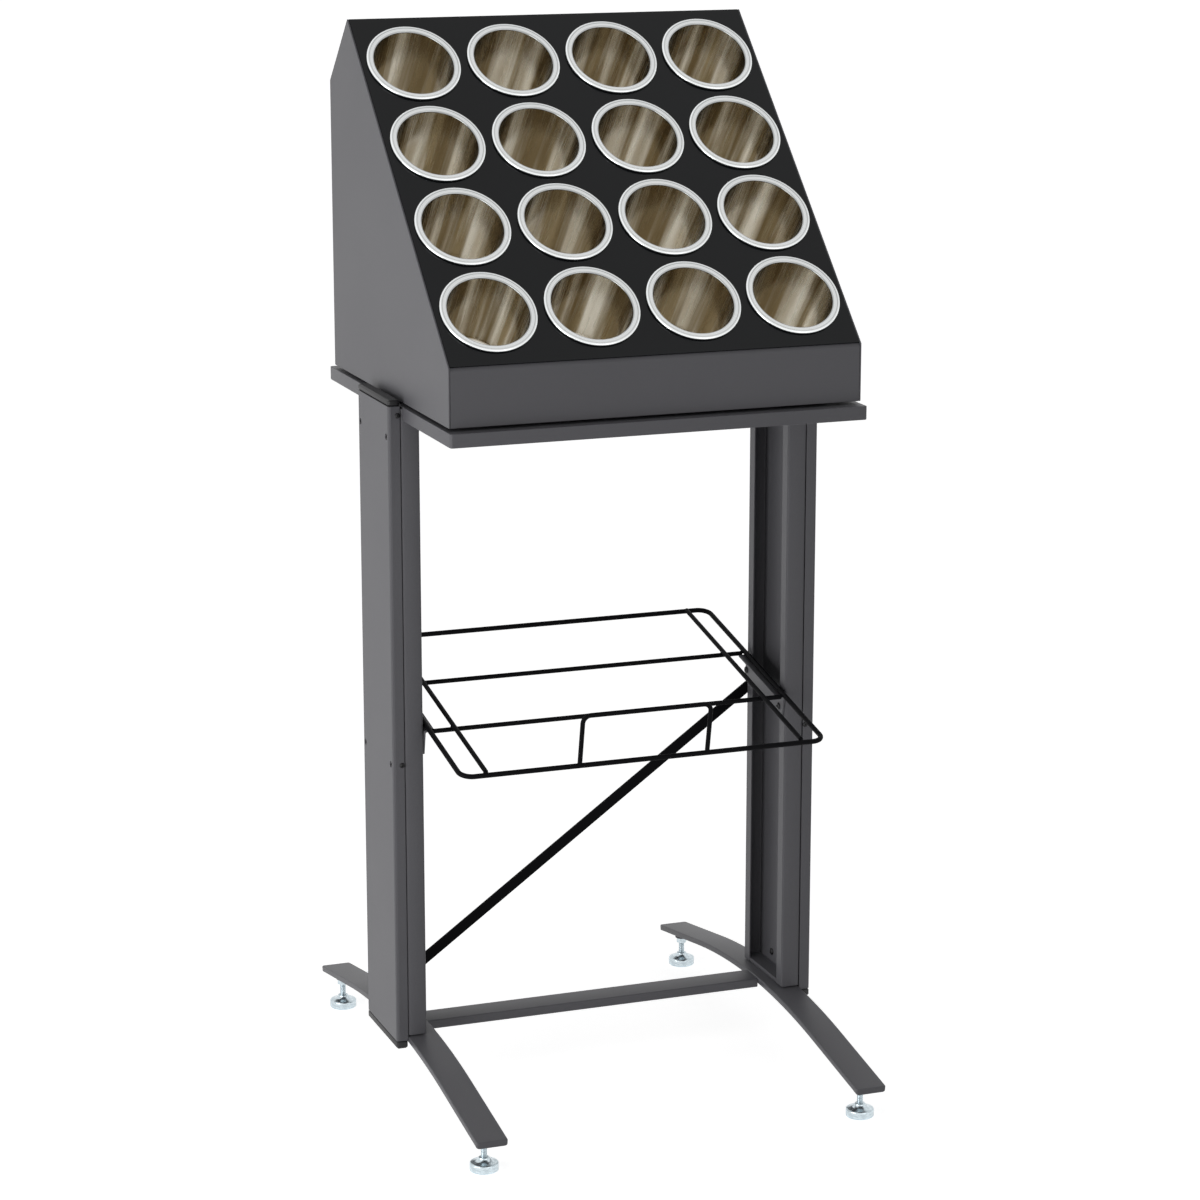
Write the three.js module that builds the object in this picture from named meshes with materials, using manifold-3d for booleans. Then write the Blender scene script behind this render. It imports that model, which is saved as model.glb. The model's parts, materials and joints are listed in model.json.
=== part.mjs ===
// Free-standing condiment station: a wedge cabinet with a sloping faceplate of lift-out steel cups,
// carried on a two-post stand with a wire basket, arched feet and levelling screws.
// Millimetres, +Z up, front towards -Y, origin on the floor under the middle of the stand.
import * as THREE from 'three';
import { mergeVertices } from 'three/addons/utils/BufferGeometryUtils.js';
import Module from 'manifold-3d';

const wasm = await Module();
wasm.setup();

// Fits
const GAP = 0.3; // left between pieces that rest on or butt against each other
const HOLE_CLEARANCE = 2; // all round a cup in its faceplate hole
const CUP_CLEARANCE = 8; // least height of the lowest cups above the floor of the cabinet

// Cups
const RIM_DIAMETER = 120;
const RIM_HEIGHT = 4.5;
const RIM_ROLL = 1.5; // rounding of the rim's edges
const MOUTH_DIAMETER = 101;
const CUP_DEPTH = 110; // below the faceplate, where the cabinet leaves room for it
const CUP_WALL = 1;
const CUP_TAPER = 3; // how much the radius shrinks from mouth to bottom
const CUP_CORNER = 7;
const CUP_ROWS = 4;
const CUP_COLUMNS = 4;
const RIM_SPACING = 11; // between neighbouring rims

// Cabinet
const SHEET = 2;
const BEND = 1.5; // inside radius of a fold
const RIM_TO_SIDE = 6.2; // from the outer rims to the side panels
const RIM_TO_END = 18; // from the outer rims to the ends of the faceplate
const SLOPE = THREE.MathUtils.degToRad(43.5);
const CHAMFER = THREE.MathUtils.degToRad(45);
const CHAMFER_RUN = 82;
const APRON_HEIGHT = 71.5;
const FLANGE = 13; // folded edges inside the cabinet
const CABINET_FOOT_HEIGHT = 4;
const CABINET_FOOT_DIAMETER = 28;
const CABINET_FOOT_INSET = 42;
const CABINET_FOOT_DRAFT = 1.4; // how much its radius shrinks towards the shelf

// Shelf under the cabinet
const SHELF_HEIGHT = 903;
const SHELF_SIDE_OVERHANG = 3;
const SHELF_END_OVERHANG = 14.5;
const SHELF_LIP = 17;
const SHELF_CORNER = 4;

// Posts and their outer covers
const POST_WIDTH = 25;
const POST_DEPTH = 130;
const POST_LIP = 19;
const POST_PROUD = 3; // how far the post stands outside the shelf edge
const POST_PLATE = 5; // welded plates that close the post's ends
const COVER_WIDTH = 15;
const COVER_ABOVE_SHELF = 1.5;
const COVER_BELOW_CROWN = 6;
const TOP_CAP = 8;
const BOTTOM_CAP = 10.5;
const CAP_PLUG = 9; // how far a cap's plug reaches into the cover
const CAP_EDGE = 2;

// Arched feet and the bar between them
const FOOT_CROWN = 90; // top of the arch above the floor
const FOOT_WIDTH = 40;
const FOOT_THICKNESS = 8;
const FOOT_LENGTH = 680;
const ARCH_RADIUS = 1200; // on the underside
const ARCH_SPAN = 400; // length of the curved middle
const FOOT_END_RADIUS = 3;
const FOOT_EDGE = 1.5;
const CROSSBAR_DEPTH = 40;
const CROSSBAR_HEIGHT = 12;
const CROSSBAR_DROP = 1; // from the crown to the crossbar's top
const CROSSBAR_EDGE = 2.5;

// Levelling feet
const LEVELLER_INSET = 34; // from the end of the foot
const PAD_DIAMETER = 36;
const PAD_HEIGHT = 17;
const PAD_EDGE = 11; // height of the disc under the neck
const PAD_SHOULDER = 2.5; // rounding of the disc's upper edge
const PAD_NECK_WALL = 2.5;
const PAD_COLLAR = 1; // straight top of the neck
const PAD_SOCKET = 5;
const STUD_DIAMETER = 8;
const STUD_ENGAGEMENT = 8; // length inside the boss at rest
const STUD_CHAMFER = 0.8;
const BOSS_DIAMETER = 18;
const BOSS_HEIGHT = 8;
const BORE_ROOF = 2; // metal left above the blind hole
const NUT_ACROSS_FLATS = 13;
const NUT_HEIGHT = 6.5;

// Diagonal brace behind the posts
const BRACE_WIDTH = 14;
const BRACE_THICKNESS = 3;
const BRACE_LOW = 106;
const BRACE_HIGH = 478;
const BRACE_HOLE = 5;

// Wire basket between the posts
const FRAME_WIRE = 6.5;
const BASKET_WIRE = 6;
const BASKET_SIDE_GAP = 2; // between the frame and the posts
const BASKET_DEPTH = 405;
const BASKET_TILT = THREE.MathUtils.degToRad(11.3);
const BASKET_HEIGHT = 508; // of the frame at the middle of the posts
const BASKET_FORWARD = 4;
const BASKET_CORNER = 16;
const BASKET_BAYS = 3; // between the wires that run across
const SIDE_WIRE_INSET = 31.5; // from the frame to the wire beside it
const STOP_WIDTH = 169;
const STOP_HEIGHT = 68;
const STOP_CORNER = 10;
const STOP_SHIFT = -4; // from the middle of the frame
const BRACKET_SHEET = 2.5;
const BRACKET_DROP = 30;
const BRACKET_LEDGE = 14; // width of the leg under the frame
const BRACKET_HOLE = 5.5;
const BRACKET_HOLE_DROP = 21; // below the wires

// Facets
const CUP_FACETS = 20;
const PAD_FACETS = 20;
const STUD_FACETS = 12;
const WIRE_ARC_DIVISIONS = 4; // half the number of sides of a wire
const BEND_DIVISIONS = 2;
const CORNER_STEPS = 4;
const ARCH_DIVISIONS = 6;
const CUT_MARGIN = 1; // how far a cutting solid reaches past the metal
const WELD_TOLERANCE = 1e-4; // points closer than this are one point

// Sizes that follow from the driving dimensions
const rimPitch = RIM_DIAMETER + RIM_SPACING;
const rimsAcross = CUP_COLUMNS * rimPitch - RIM_SPACING;
const rimsAlong = CUP_ROWS * rimPitch - RIM_SPACING;
const innerWidth = rimsAcross + 2 * RIM_TO_SIDE;
const panelWidth = innerWidth;
const cabinetWidth = innerWidth + 2 * (GAP + SHEET);
const faceLength = rimsAlong + 2 * RIM_TO_END;
const faceRun = faceLength * Math.cos(SLOPE);
const cabinetDepth = faceRun + CHAMFER_RUN;
const cabinetFront = -cabinetDepth / 2;
const cabinetBack = cabinetDepth / 2;
const cabinetBase = SHELF_HEIGHT + CABINET_FOOT_HEIGHT;
const apronTop = cabinetBase + APRON_HEIGHT;
const ridgeY = cabinetFront + faceRun;
const ridgeZ = apronTop + faceLength * Math.sin(SLOPE);
const chamferFoot = ridgeZ - CHAMFER_RUN * Math.tan(CHAMFER);
const cupOuter = MOUTH_DIAMETER / 2 + CUP_WALL;
const lowestCupEdge = apronTop + (RIM_TO_END + RIM_DIAMETER / 2 - cupOuter) * Math.sin(SLOPE);
const cupRoom = (lowestCupEdge - cabinetBase - SHEET - CUP_CLEARANCE) / Math.cos(SLOPE);
const cupDepth = Math.min(CUP_DEPTH, cupRoom);

const shelfWidth = cabinetWidth + 2 * SHELF_SIDE_OVERHANG;
const shelfDepth = cabinetDepth + 2 * SHELF_END_OVERHANG;

const postOuter = shelfWidth / 2 + POST_PROUD;
const postInner = postOuter - POST_WIDTH;
const postMiddle = postOuter - POST_WIDTH / 2;
const postBottom = FOOT_CROWN + GAP;
const postTop = SHELF_HEIGHT - SHEET - GAP;
const coverOuter = postOuter + GAP + COVER_WIDTH;
const coverTop = SHELF_HEIGHT + COVER_ABOVE_SHELF;
const coverBottom = FOOT_CROWN - COVER_BELOW_CROWN;

const footMiddle = postOuter - FOOT_WIDTH / 2;
const footInner = postOuter - FOOT_WIDTH;
const archUnderside = FOOT_CROWN - FOOT_THICKNESS;
const archCentre = archUnderside - ARCH_RADIUS;
const archAngle = Math.asin(ARCH_SPAN / 2 / ARCH_RADIUS);
const levellerY = FOOT_LENGTH / 2 - LEVELLER_INSET;

const frameHalfWidth = postInner - BASKET_SIDE_GAP - FRAME_WIRE / 2;
const sideWireX = frameHalfWidth - SIDE_WIRE_INSET;

const axisX = new THREE.Vector3(1, 0, 0);
const axisY = new THREE.Vector3(0, 1, 0);
const axisZ = new THREE.Vector3(0, 0, 1);

const paintGrey = { color: 0x4b4b4f, roughness: 0.45, metalness: 0.2 };
const paintBlack = { color: 0x17171a, roughness: 0.15, metalness: 0.1 };
const paintWire = { color: 0x151517, roughness: 0.5, metalness: 0.1 };
const steel = { color: 0xc8c5be, roughness: 0.25, metalness: 1 };
const zinc = { color: 0xb4b6b4, roughness: 0.35, metalness: 0.9 };
const blackPlastic = { color: 0x141416, roughness: 0.55, metalness: 0 };
const rubber = { color: 0x1b1b1b, roughness: 0.9, metalness: 0 };

const station = new THREE.Group();

function addPiece(parent, name, geometry, finish) {
  const mesh = new THREE.Mesh(geometry, new THREE.MeshStandardMaterial(finish));
  mesh.name = name;
  parent.add(mesh);
  return mesh;
}

// Solids that are cut or joined

function toSolid(geometry) {
  const bare = geometry.index ? geometry.toNonIndexed() : geometry.clone();
  bare.deleteAttribute('normal');
  bare.deleteAttribute('uv');
  const merged = mergeVertices(bare, WELD_TOLERANCE);
  const corners = merged.index.array;
  const triangles = [];
  for (let i = 0; i < corners.length; i += 3) {
    const [a, b, c] = corners.slice(i, i + 3);
    if (a !== b && b !== c && c !== a) {
      triangles.push(a, b, c);
    }
  }
  const vertProperties = new Float32Array(merged.attributes.position.array);
  const triVerts = new Uint32Array(triangles);
  return new wasm.Manifold(new wasm.Mesh({ numProp: 3, vertProperties, triVerts }));
}

function toGeometry(solid) {
  const mesh = solid.getMesh();
  const geometry = new THREE.BufferGeometry();
  geometry.setAttribute('position', new THREE.BufferAttribute(mesh.vertProperties, 3));
  geometry.setIndex(new THREE.BufferAttribute(mesh.triVerts, 1));
  return geometry;
}

function joined(...geometries) {
  return toGeometry(geometries.map(toSolid).reduce((whole, piece) => whole.add(piece)));
}

function cut(geometry, ...tools) {
  return toGeometry(tools.map(toSolid).reduce((left, tool) => left.subtract(tool), toSolid(geometry)));
}

function common(geometry, other) {
  return toGeometry(toSolid(geometry).intersect(toSolid(other)));
}

// Profiles and sweeps

function box(low, high) {
  const size = new THREE.Vector3().subVectors(high, low);
  const centre = new THREE.Vector3().addVectors(low, high).multiplyScalar(0.5);
  return new THREE.BoxGeometry(size.x, size.y, size.z).translate(centre.x, centre.y, centre.z);
}

function uprightCylinder(radius, bottom, top, facets) {
  const geometry = new THREE.CylinderGeometry(radius, radius, top - bottom, facets);
  return geometry.rotateX(Math.PI / 2).translate(0, 0, (bottom + top) / 2);
}

function polygon(corners) {
  return new THREE.Shape(corners);
}

function roundedRectangle(width, height, radius) {
  const x = width / 2;
  const y = height / 2;
  const shape = new THREE.Shape();
  shape.absarc(x - radius, y - radius, radius, 0, Math.PI / 2);
  shape.absarc(radius - x, y - radius, radius, Math.PI / 2, Math.PI);
  shape.absarc(radius - x, radius - y, radius, Math.PI, Math.PI * 1.5);
  shape.absarc(x - radius, radius - y, radius, Math.PI * 1.5, Math.PI * 2);
  return shape;
}

function crossing(pointA, alongA, pointB, alongB) {
  const offset = pointB.clone().sub(pointA);
  const reach = offset.cross(alongB) / alongA.clone().cross(alongB);
  return pointA.clone().addScaledVector(alongA, reach);
}

function toLeft(direction) {
  return new THREE.Vector2(-direction.y, direction.x);
}

// Section of a folded sheet: corners of one face in order, with the metal on their left.
function foldedSheet(corners, thickness) {
  const directions = [];
  for (let i = 0; i + 1 < corners.length; i += 1) {
    directions.push(corners[i + 1].clone().sub(corners[i]).normalize());
  }
  const last = corners.length - 1;
  const shifted = corners.map((corner, i) => {
    const before = directions[Math.max(i - 1, 0)];
    const after = directions[Math.min(i, last - 1)];
    const start = corner.clone().addScaledVector(toLeft(before), thickness);
    if (i === 0 || i === last) {
      return start;
    }
    return crossing(start, before, corner.clone().addScaledVector(toLeft(after), thickness), after);
  });
  const shape = new THREE.Shape();
  const fold = (path, i, before, after, radius) => {
    const turn = Math.abs(Math.atan2(before.cross(after), before.dot(after)));
    const reach = radius * Math.tan(turn / 2);
    const start = path[i].clone().addScaledVector(before, -reach);
    const end = path[i].clone().addScaledVector(after, reach);
    shape.lineTo(start.x, start.y);
    shape.quadraticCurveTo(path[i].x, path[i].y, end.x, end.y);
  };
  shape.moveTo(corners[0].x, corners[0].y);
  for (let i = 1; i < last; i += 1) {
    const turnsLeft = directions[i - 1].cross(directions[i]) > 0;
    fold(corners, i, directions[i - 1], directions[i], turnsLeft ? BEND + thickness : BEND);
  }
  shape.lineTo(corners[last].x, corners[last].y);
  shape.lineTo(shifted[last].x, shifted[last].y);
  for (let i = last - 1; i > 0; i -= 1) {
    const turnsLeft = directions[i - 1].cross(directions[i]) > 0;
    const before = directions[i].clone().negate();
    const after = directions[i - 1].clone().negate();
    fold(shifted, i, before, after, turnsLeft ? BEND : BEND + thickness);
  }
  shape.lineTo(shifted[0].x, shifted[0].y);
  return shape;
}

function extruded(shape, depth, curveSegments = BEND_DIVISIONS) {
  return new THREE.ExtrudeGeometry(shape, { depth, bevelEnabled: false, curveSegments });
}

function extrudedSoftly(shape, depth, edge, curveSegments) {
  const bevel = { bevelThickness: edge, bevelSize: edge, bevelOffset: -edge, bevelSegments: 1 };
  const options = { depth: depth - 2 * edge, curveSegments, ...bevel };
  return new THREE.ExtrudeGeometry(shape, options).translate(0, 0, edge);
}

// Turns a section drawn in Y and Z and extruded along its own Z into one that runs along X.
function acrossX(geometry, width) {
  const turn = new THREE.Matrix4().makeBasis(axisY, axisZ, axisX);
  return geometry.applyMatrix4(turn).translate(-width / 2, 0, 0);
}

// Turns a section drawn in X and Z and extruded along its own Z into one that runs along -Y.
function towardsFront(geometry) {
  const turn = new THREE.Matrix4().makeBasis(axisX, axisZ, axisY.clone().negate());
  return geometry.applyMatrix4(turn);
}

// Path of a bent wire through given points, with each ring halving the bend there.
class WirePath extends THREE.Curve {
  constructor(points) {
    super();
    this.points = points;
  }

  getPointAt(position, target = new THREE.Vector3()) {
    return target.copy(this.points[Math.round(position * (this.points.length - 1))]);
  }

  getSpacedPoints() {
    return this.points;
  }

  getTangentAt(position, target = new THREE.Vector3()) {
    const last = this.points.length - 1;
    const i = Math.round(position * last);
    const here = Math.max(i, 1);
    const before = new THREE.Vector3().subVectors(this.points[here], this.points[here - 1]);
    const next = Math.min(i + 1, last);
    const after = new THREE.Vector3().subVectors(this.points[next], this.points[next - 1]);
    return target.addVectors(before.normalize(), after.normalize()).normalize();
  }
}

function bentWire(points, diameter) {
  const section = new THREE.Shape().absarc(0, 0, diameter / 2, 0, Math.PI * 2);
  return new THREE.ExtrudeGeometry(section, {
    extrudePath: new WirePath(points),
    steps: points.length - 1,
    curveSegments: WIRE_ARC_DIVISIONS,
  });
}

function straightWire(length, diameter) {
  return new THREE.CylinderGeometry(diameter / 2, diameter / 2, length, 2 * WIRE_ARC_DIVISIONS);
}

function arcPoints(centre, radius, startAngle, endAngle, place) {
  const points = [];
  for (let i = 0; i <= CORNER_STEPS; i += 1) {
    const angle = THREE.MathUtils.lerp(startAngle, endAngle, i / CORNER_STEPS);
    points.push(place(centre.x + radius * Math.cos(angle), centre.y + radius * Math.sin(angle)));
  }
  return points;
}

// Cups

function cupGeometry() {
  const mouth = MOUTH_DIAMETER / 2;
  const rim = RIM_DIAMETER / 2;
  const floor = mouth - CUP_TAPER;
  const top = GAP + RIM_HEIGHT;
  const bottom = -cupDepth;
  const slant = CUP_TAPER / cupDepth;
  const profile = [
    new THREE.Vector2(0, bottom),
    new THREE.Vector2(floor + CUP_WALL - CUP_CORNER, bottom),
    new THREE.Vector2(floor + CUP_WALL + slant * CUP_CORNER, bottom + CUP_CORNER),
    new THREE.Vector2(cupOuter, GAP),
    new THREE.Vector2(rim - RIM_ROLL, GAP),
    new THREE.Vector2(rim, GAP + RIM_ROLL),
    new THREE.Vector2(rim - RIM_ROLL, top),
    new THREE.Vector2(mouth + RIM_ROLL, top),
    new THREE.Vector2(mouth, top - RIM_ROLL),
    new THREE.Vector2(floor + slant * CUP_CORNER, bottom + CUP_CORNER + CUP_WALL),
    new THREE.Vector2(floor - CUP_CORNER, bottom + CUP_WALL),
    new THREE.Vector2(0, bottom + CUP_WALL),
  ];
  return new THREE.LatheGeometry(profile, CUP_FACETS).rotateX(Math.PI / 2);
}

// Cabinet

const slopeFrame = new THREE.Group();
slopeFrame.rotation.x = SLOPE;
slopeFrame.position.set(0, (cabinetFront + ridgeY) / 2, (apronTop + ridgeZ) / 2);
station.add(slopeFrame);

function cupPlaces() {
  const places = [];
  for (let row = 0; row < CUP_ROWS; row += 1) {
    for (let column = 0; column < CUP_COLUMNS; column += 1) {
      const x = (column - (CUP_COLUMNS - 1) / 2) * rimPitch;
      const y = ((CUP_ROWS - 1) / 2 - row) * rimPitch;
      places.push({ name: `cup_${row + 1}_${column + 1}`, x, y });
    }
  }
  return places;
}

function faceplateGeometry() {
  const half = panelWidth / 2;
  const section = foldedSheet([
    new THREE.Vector2(half, -FLANGE),
    new THREE.Vector2(half, 0),
    new THREE.Vector2(-half, 0),
    new THREE.Vector2(-half, -FLANGE),
  ], SHEET);
  const endCut = SHEET + GAP;
  const length = faceLength - endCut;
  const plate = towardsFront(extruded(section, length)).translate(0, faceLength / 2, 0);
  const holeRadius = cupOuter + HOLE_CLEARANCE;
  const holes = cupPlaces().map(({ x, y }) => (
    uprightCylinder(holeRadius, -2 * SHEET, SHEET, CUP_FACETS).translate(x, y, 0)
  ));
  const flangeEnd = faceLength / 2 - FLANGE - SHEET - BEND;
  const reach = FLANGE + CUT_MARGIN;
  const notches = [-1, 1].map((end) => box(
    new THREE.Vector3(-half - CUT_MARGIN, Math.min(end * flangeEnd, end * faceLength), -reach),
    new THREE.Vector3(half + CUT_MARGIN, Math.max(end * flangeEnd, end * faceLength), -SHEET),
  ));
  return cut(plate, ...holes, ...notches);
}

function sideShape() {
  return polygon([
    new THREE.Vector2(cabinetFront, cabinetBase),
    new THREE.Vector2(cabinetBack, cabinetBase),
    new THREE.Vector2(cabinetBack, chamferFoot),
    new THREE.Vector2(ridgeY, ridgeZ),
    new THREE.Vector2(cabinetFront, apronTop),
  ]);
}

// The apron and the back end in flanges that lie under the faceplate.
function apronGeometry() {
  const drop = (SHEET + GAP) / Math.cos(SLOPE);
  const top = new THREE.Vector2(cabinetFront, apronTop - drop);
  const upSlope = new THREE.Vector2(Math.cos(SLOPE), Math.sin(SLOPE));
  const section = foldedSheet([
    top.clone().addScaledVector(upSlope, FLANGE),
    top,
    new THREE.Vector2(cabinetFront, cabinetBase),
  ], SHEET);
  return acrossX(extruded(section, panelWidth), panelWidth);
}

function backGeometry() {
  const downSlope = new THREE.Vector2(-Math.cos(SLOPE), -Math.sin(SLOPE));
  const ridge = new THREE.Vector2(ridgeY, ridgeZ);
  const chamferEnd = new THREE.Vector2(cabinetBack, chamferFoot);
  const downChamfer = chamferEnd.clone().sub(ridge).normalize();
  const underFace = ridge.clone().addScaledVector(toLeft(downSlope), SHEET + GAP);
  const fold = crossing(underFace, downSlope, ridge, downChamfer);
  const section = foldedSheet([
    new THREE.Vector2(cabinetBack, cabinetBase),
    chamferEnd,
    fold,
    fold.clone().addScaledVector(downSlope, FLANGE),
  ], SHEET);
  return acrossX(extruded(section, panelWidth), panelWidth);
}

function basePanGeometry() {
  const half = panelWidth / 2;
  const back = cabinetBack - SHEET - GAP;
  const front = cabinetFront + SHEET + GAP;
  const section = foldedSheet([
    new THREE.Vector2(-half, cabinetBase + FLANGE),
    new THREE.Vector2(-half, cabinetBase),
    new THREE.Vector2(half, cabinetBase),
    new THREE.Vector2(half, cabinetBase + FLANGE),
  ], SHEET);
  return towardsFront(extruded(section, back - front)).translate(0, back, 0);
}

addPiece(slopeFrame, 'faceplate', faceplateGeometry(), paintBlack);
for (const { name, x, y } of cupPlaces()) {
  addPiece(slopeFrame, name, cupGeometry(), steel).position.set(x, y, 0);
}
for (const [name, outward] of [['side_left', -1], ['side_right', 1]]) {
  const panel = addPiece(station, name, acrossX(extruded(sideShape(), SHEET), SHEET), paintGrey);
  panel.position.x = outward * (cabinetWidth - SHEET) / 2;
}
addPiece(station, 'apron', apronGeometry(), paintGrey);
addPiece(station, 'back_panel', backGeometry(), paintGrey);
addPiece(station, 'base_pan', basePanGeometry(), paintGrey);

// Stand

const corners = [
  ['front_left', -1, -1],
  ['front_right', 1, -1],
  ['rear_left', -1, 1],
  ['rear_right', 1, 1],
];
const sides = [
  ['left', -1],
  ['right', 1],
];

function cabinetFootGeometry() {
  const radius = CABINET_FOOT_DIAMETER / 2;
  const top = CABINET_FOOT_HEIGHT - GAP;
  const profile = [
    new THREE.Vector2(0, GAP),
    new THREE.Vector2(radius - CABINET_FOOT_DRAFT, GAP),
    new THREE.Vector2(radius, top),
    new THREE.Vector2(0, top),
  ];
  return new THREE.LatheGeometry(profile, PAD_FACETS).rotateX(Math.PI / 2);
}

function shelfGeometry() {
  const tray = extruded(roundedRectangle(shelfWidth, shelfDepth, SHELF_CORNER), SHELF_LIP);
  const inside = roundedRectangle(shelfWidth - 2 * SHEET, shelfDepth - 2 * SHEET, SHELF_CORNER - SHEET);
  const hollow = extruded(inside, SHELF_LIP).translate(0, 0, -SHEET);
  const notch = POST_DEPTH / 2 + GAP;
  const notches = box(
    new THREE.Vector3(-shelfWidth, -notch, -CUT_MARGIN),
    new THREE.Vector3(shelfWidth, notch, SHELF_LIP - SHEET),
  );
  return cut(tray, hollow, notches).translate(0, 0, SHELF_HEIGHT - SHELF_LIP);
}

// A channel with its web outside and its lips turned in, closed by a welded plate at each end.
function postGeometry() {
  const half = POST_DEPTH / 2;
  const section = foldedSheet([
    new THREE.Vector2(postInner, half - POST_LIP),
    new THREE.Vector2(postInner, half),
    new THREE.Vector2(postOuter, half),
    new THREE.Vector2(postOuter, -half),
    new THREE.Vector2(postInner, -half),
    new THREE.Vector2(postInner, POST_LIP - half),
  ].reverse(), SHEET);
  const channel = extruded(section, postTop - postBottom).translate(0, 0, postBottom);
  const wallOverlap = SHEET / 2;
  const endPlate = (bottom) => box(
    new THREE.Vector3(postInner + wallOverlap, wallOverlap - half, bottom),
    new THREE.Vector3(postOuter - wallOverlap, half - wallOverlap, bottom + POST_PLATE),
  );
  return joined(channel, endPlate(postBottom), endPlate(postTop - POST_PLATE));
}

function coverGeometry() {
  const half = POST_DEPTH / 2;
  const inner = postOuter + GAP;
  const section = foldedSheet([
    new THREE.Vector2(inner, -half),
    new THREE.Vector2(coverOuter, -half),
    new THREE.Vector2(coverOuter, half),
    new THREE.Vector2(inner, half),
  ], SHEET);
  return extruded(section, coverTop - coverBottom).translate(0, 0, coverBottom);
}

// A moulded cap that closes the end of a cover, with a plug inside the cover's walls.
function capGeometry(height) {
  const lid = roundedRectangle(COVER_WIDTH, POST_DEPTH, SHEET + BEND);
  const slack = SHEET + GAP;
  const plug = roundedRectangle(COVER_WIDTH - slack - GAP, POST_DEPTH - 2 * slack, BEND);
  const crown = extrudedSoftly(lid, height - GAP, CAP_EDGE, BEND_DIVISIONS).translate(0, 0, GAP);
  const stem = extruded(plug, CAP_PLUG + GAP + CAP_EDGE).translate((GAP - slack) / 2, 0, -CAP_PLUG);
  return joined(crown, stem);
}

function footBarGeometry() {
  const topRadius = ARCH_RADIUS + FOOT_THICKNESS;
  const reach = (FOOT_LENGTH - ARCH_SPAN) / 2 / Math.cos(archAngle);
  const rimPoint = (radius, end) => new THREE.Vector2(
    end * (radius * Math.sin(archAngle) + reach * Math.cos(archAngle)),
    archCentre + radius * Math.cos(archAngle) - reach * Math.sin(archAngle),
  );
  const upright = Math.PI / 2;
  const shape = new THREE.Shape();
  shape.absarc(0, archCentre, ARCH_RADIUS, upright + archAngle, upright - archAngle, true);
  shape.lineTo(...rimPoint(ARCH_RADIUS, 1));
  shape.lineTo(...rimPoint(topRadius, 1));
  shape.absarc(0, archCentre, topRadius, upright - archAngle, upright + archAngle, false);
  shape.lineTo(...rimPoint(topRadius, -1));
  shape.lineTo(...rimPoint(ARCH_RADIUS, -1));
  const bar = acrossX(extrudedSoftly(shape, FOOT_WIDTH, FOOT_EDGE, ARCH_DIVISIONS), FOOT_WIDTH);
  const plan = roundedRectangle(FOOT_WIDTH + 2 * CUT_MARGIN, FOOT_LENGTH, FOOT_END_RADIUS);
  const blank = common(bar, extruded(plan, 2 * FOOT_CROWN));
  const ends = [-1, 1];
  const underside = undersideAt(levellerY);
  const bosses = ends.map((end) => (
    uprightCylinder(BOSS_DIAMETER / 2, bossBottom, underside + FOOT_THICKNESS / 2, PAD_FACETS)
      .translate(0, end * levellerY, 0)
  ));
  const boreTop = underside + FOOT_THICKNESS - BORE_ROOF;
  const bores = ends.map((end) => (
    uprightCylinder(STUD_DIAMETER / 2 + GAP, bossBottom - CUT_MARGIN, boreTop, STUD_FACETS)
      .translate(0, end * levellerY, 0)
  ));
  return cut(joined(blank, ...bosses), ...bores);
}

function undersideAt(distance) {
  const beyondArch = distance - ARCH_SPAN / 2;
  return archCentre + ARCH_RADIUS * Math.cos(archAngle) - beyondArch * Math.tan(archAngle);
}

const bossBottom = undersideAt(levellerY) - BOSS_HEIGHT;
const nutBottom = bossBottom - GAP - NUT_HEIGHT;

function crossbarGeometry() {
  const length = 2 * (footInner - GAP);
  const section = roundedRectangle(CROSSBAR_DEPTH, CROSSBAR_HEIGHT, CROSSBAR_EDGE);
  const middle = FOOT_CROWN - CROSSBAR_DROP - CROSSBAR_HEIGHT / 2;
  return acrossX(extruded(section, length), length).translate(0, 0, middle);
}

function braceGeometry() {
  const rise = BRACE_HIGH - BRACE_LOW;
  const length = Math.hypot(2 * postMiddle, rise);
  const radius = BRACE_WIDTH / 2;
  const shape = new THREE.Shape();
  shape.absarc(length / 2, 0, radius, -Math.PI / 2, Math.PI / 2);
  shape.absarc(-length / 2, 0, radius, Math.PI / 2, Math.PI * 1.5);
  for (const end of [-1, 1]) {
    shape.holes.push(new THREE.Path().absarc(end * length / 2, 0, BRACE_HOLE / 2, 0, Math.PI * 2));
  }
  const flat = extruded(shape, BRACE_THICKNESS, ARCH_DIVISIONS);
  const rear = POST_DEPTH / 2 + GAP + BRACE_THICKNESS;
  const middle = (BRACE_LOW + BRACE_HIGH) / 2;
  return towardsFront(flat).rotateY(-Math.atan2(rise, 2 * postMiddle)).translate(0, rear, middle);
}

function padGeometry() {
  const radius = PAD_DIAMETER / 2;
  const socket = STUD_DIAMETER / 2 + GAP;
  const neck = socket + PAD_NECK_WALL;
  const profile = [
    new THREE.Vector2(0, 0),
    new THREE.Vector2(radius, 0),
    new THREE.Vector2(radius, PAD_EDGE - PAD_SHOULDER),
    new THREE.Vector2(radius - PAD_SHOULDER, PAD_EDGE),
    new THREE.Vector2(neck, PAD_HEIGHT - PAD_COLLAR),
    new THREE.Vector2(neck, PAD_HEIGHT),
    new THREE.Vector2(socket, PAD_HEIGHT),
    new THREE.Vector2(socket, PAD_HEIGHT - PAD_SOCKET),
    new THREE.Vector2(0, PAD_HEIGHT - PAD_SOCKET),
  ];
  return new THREE.LatheGeometry(profile, PAD_FACETS).rotateX(Math.PI / 2);
}

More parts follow.
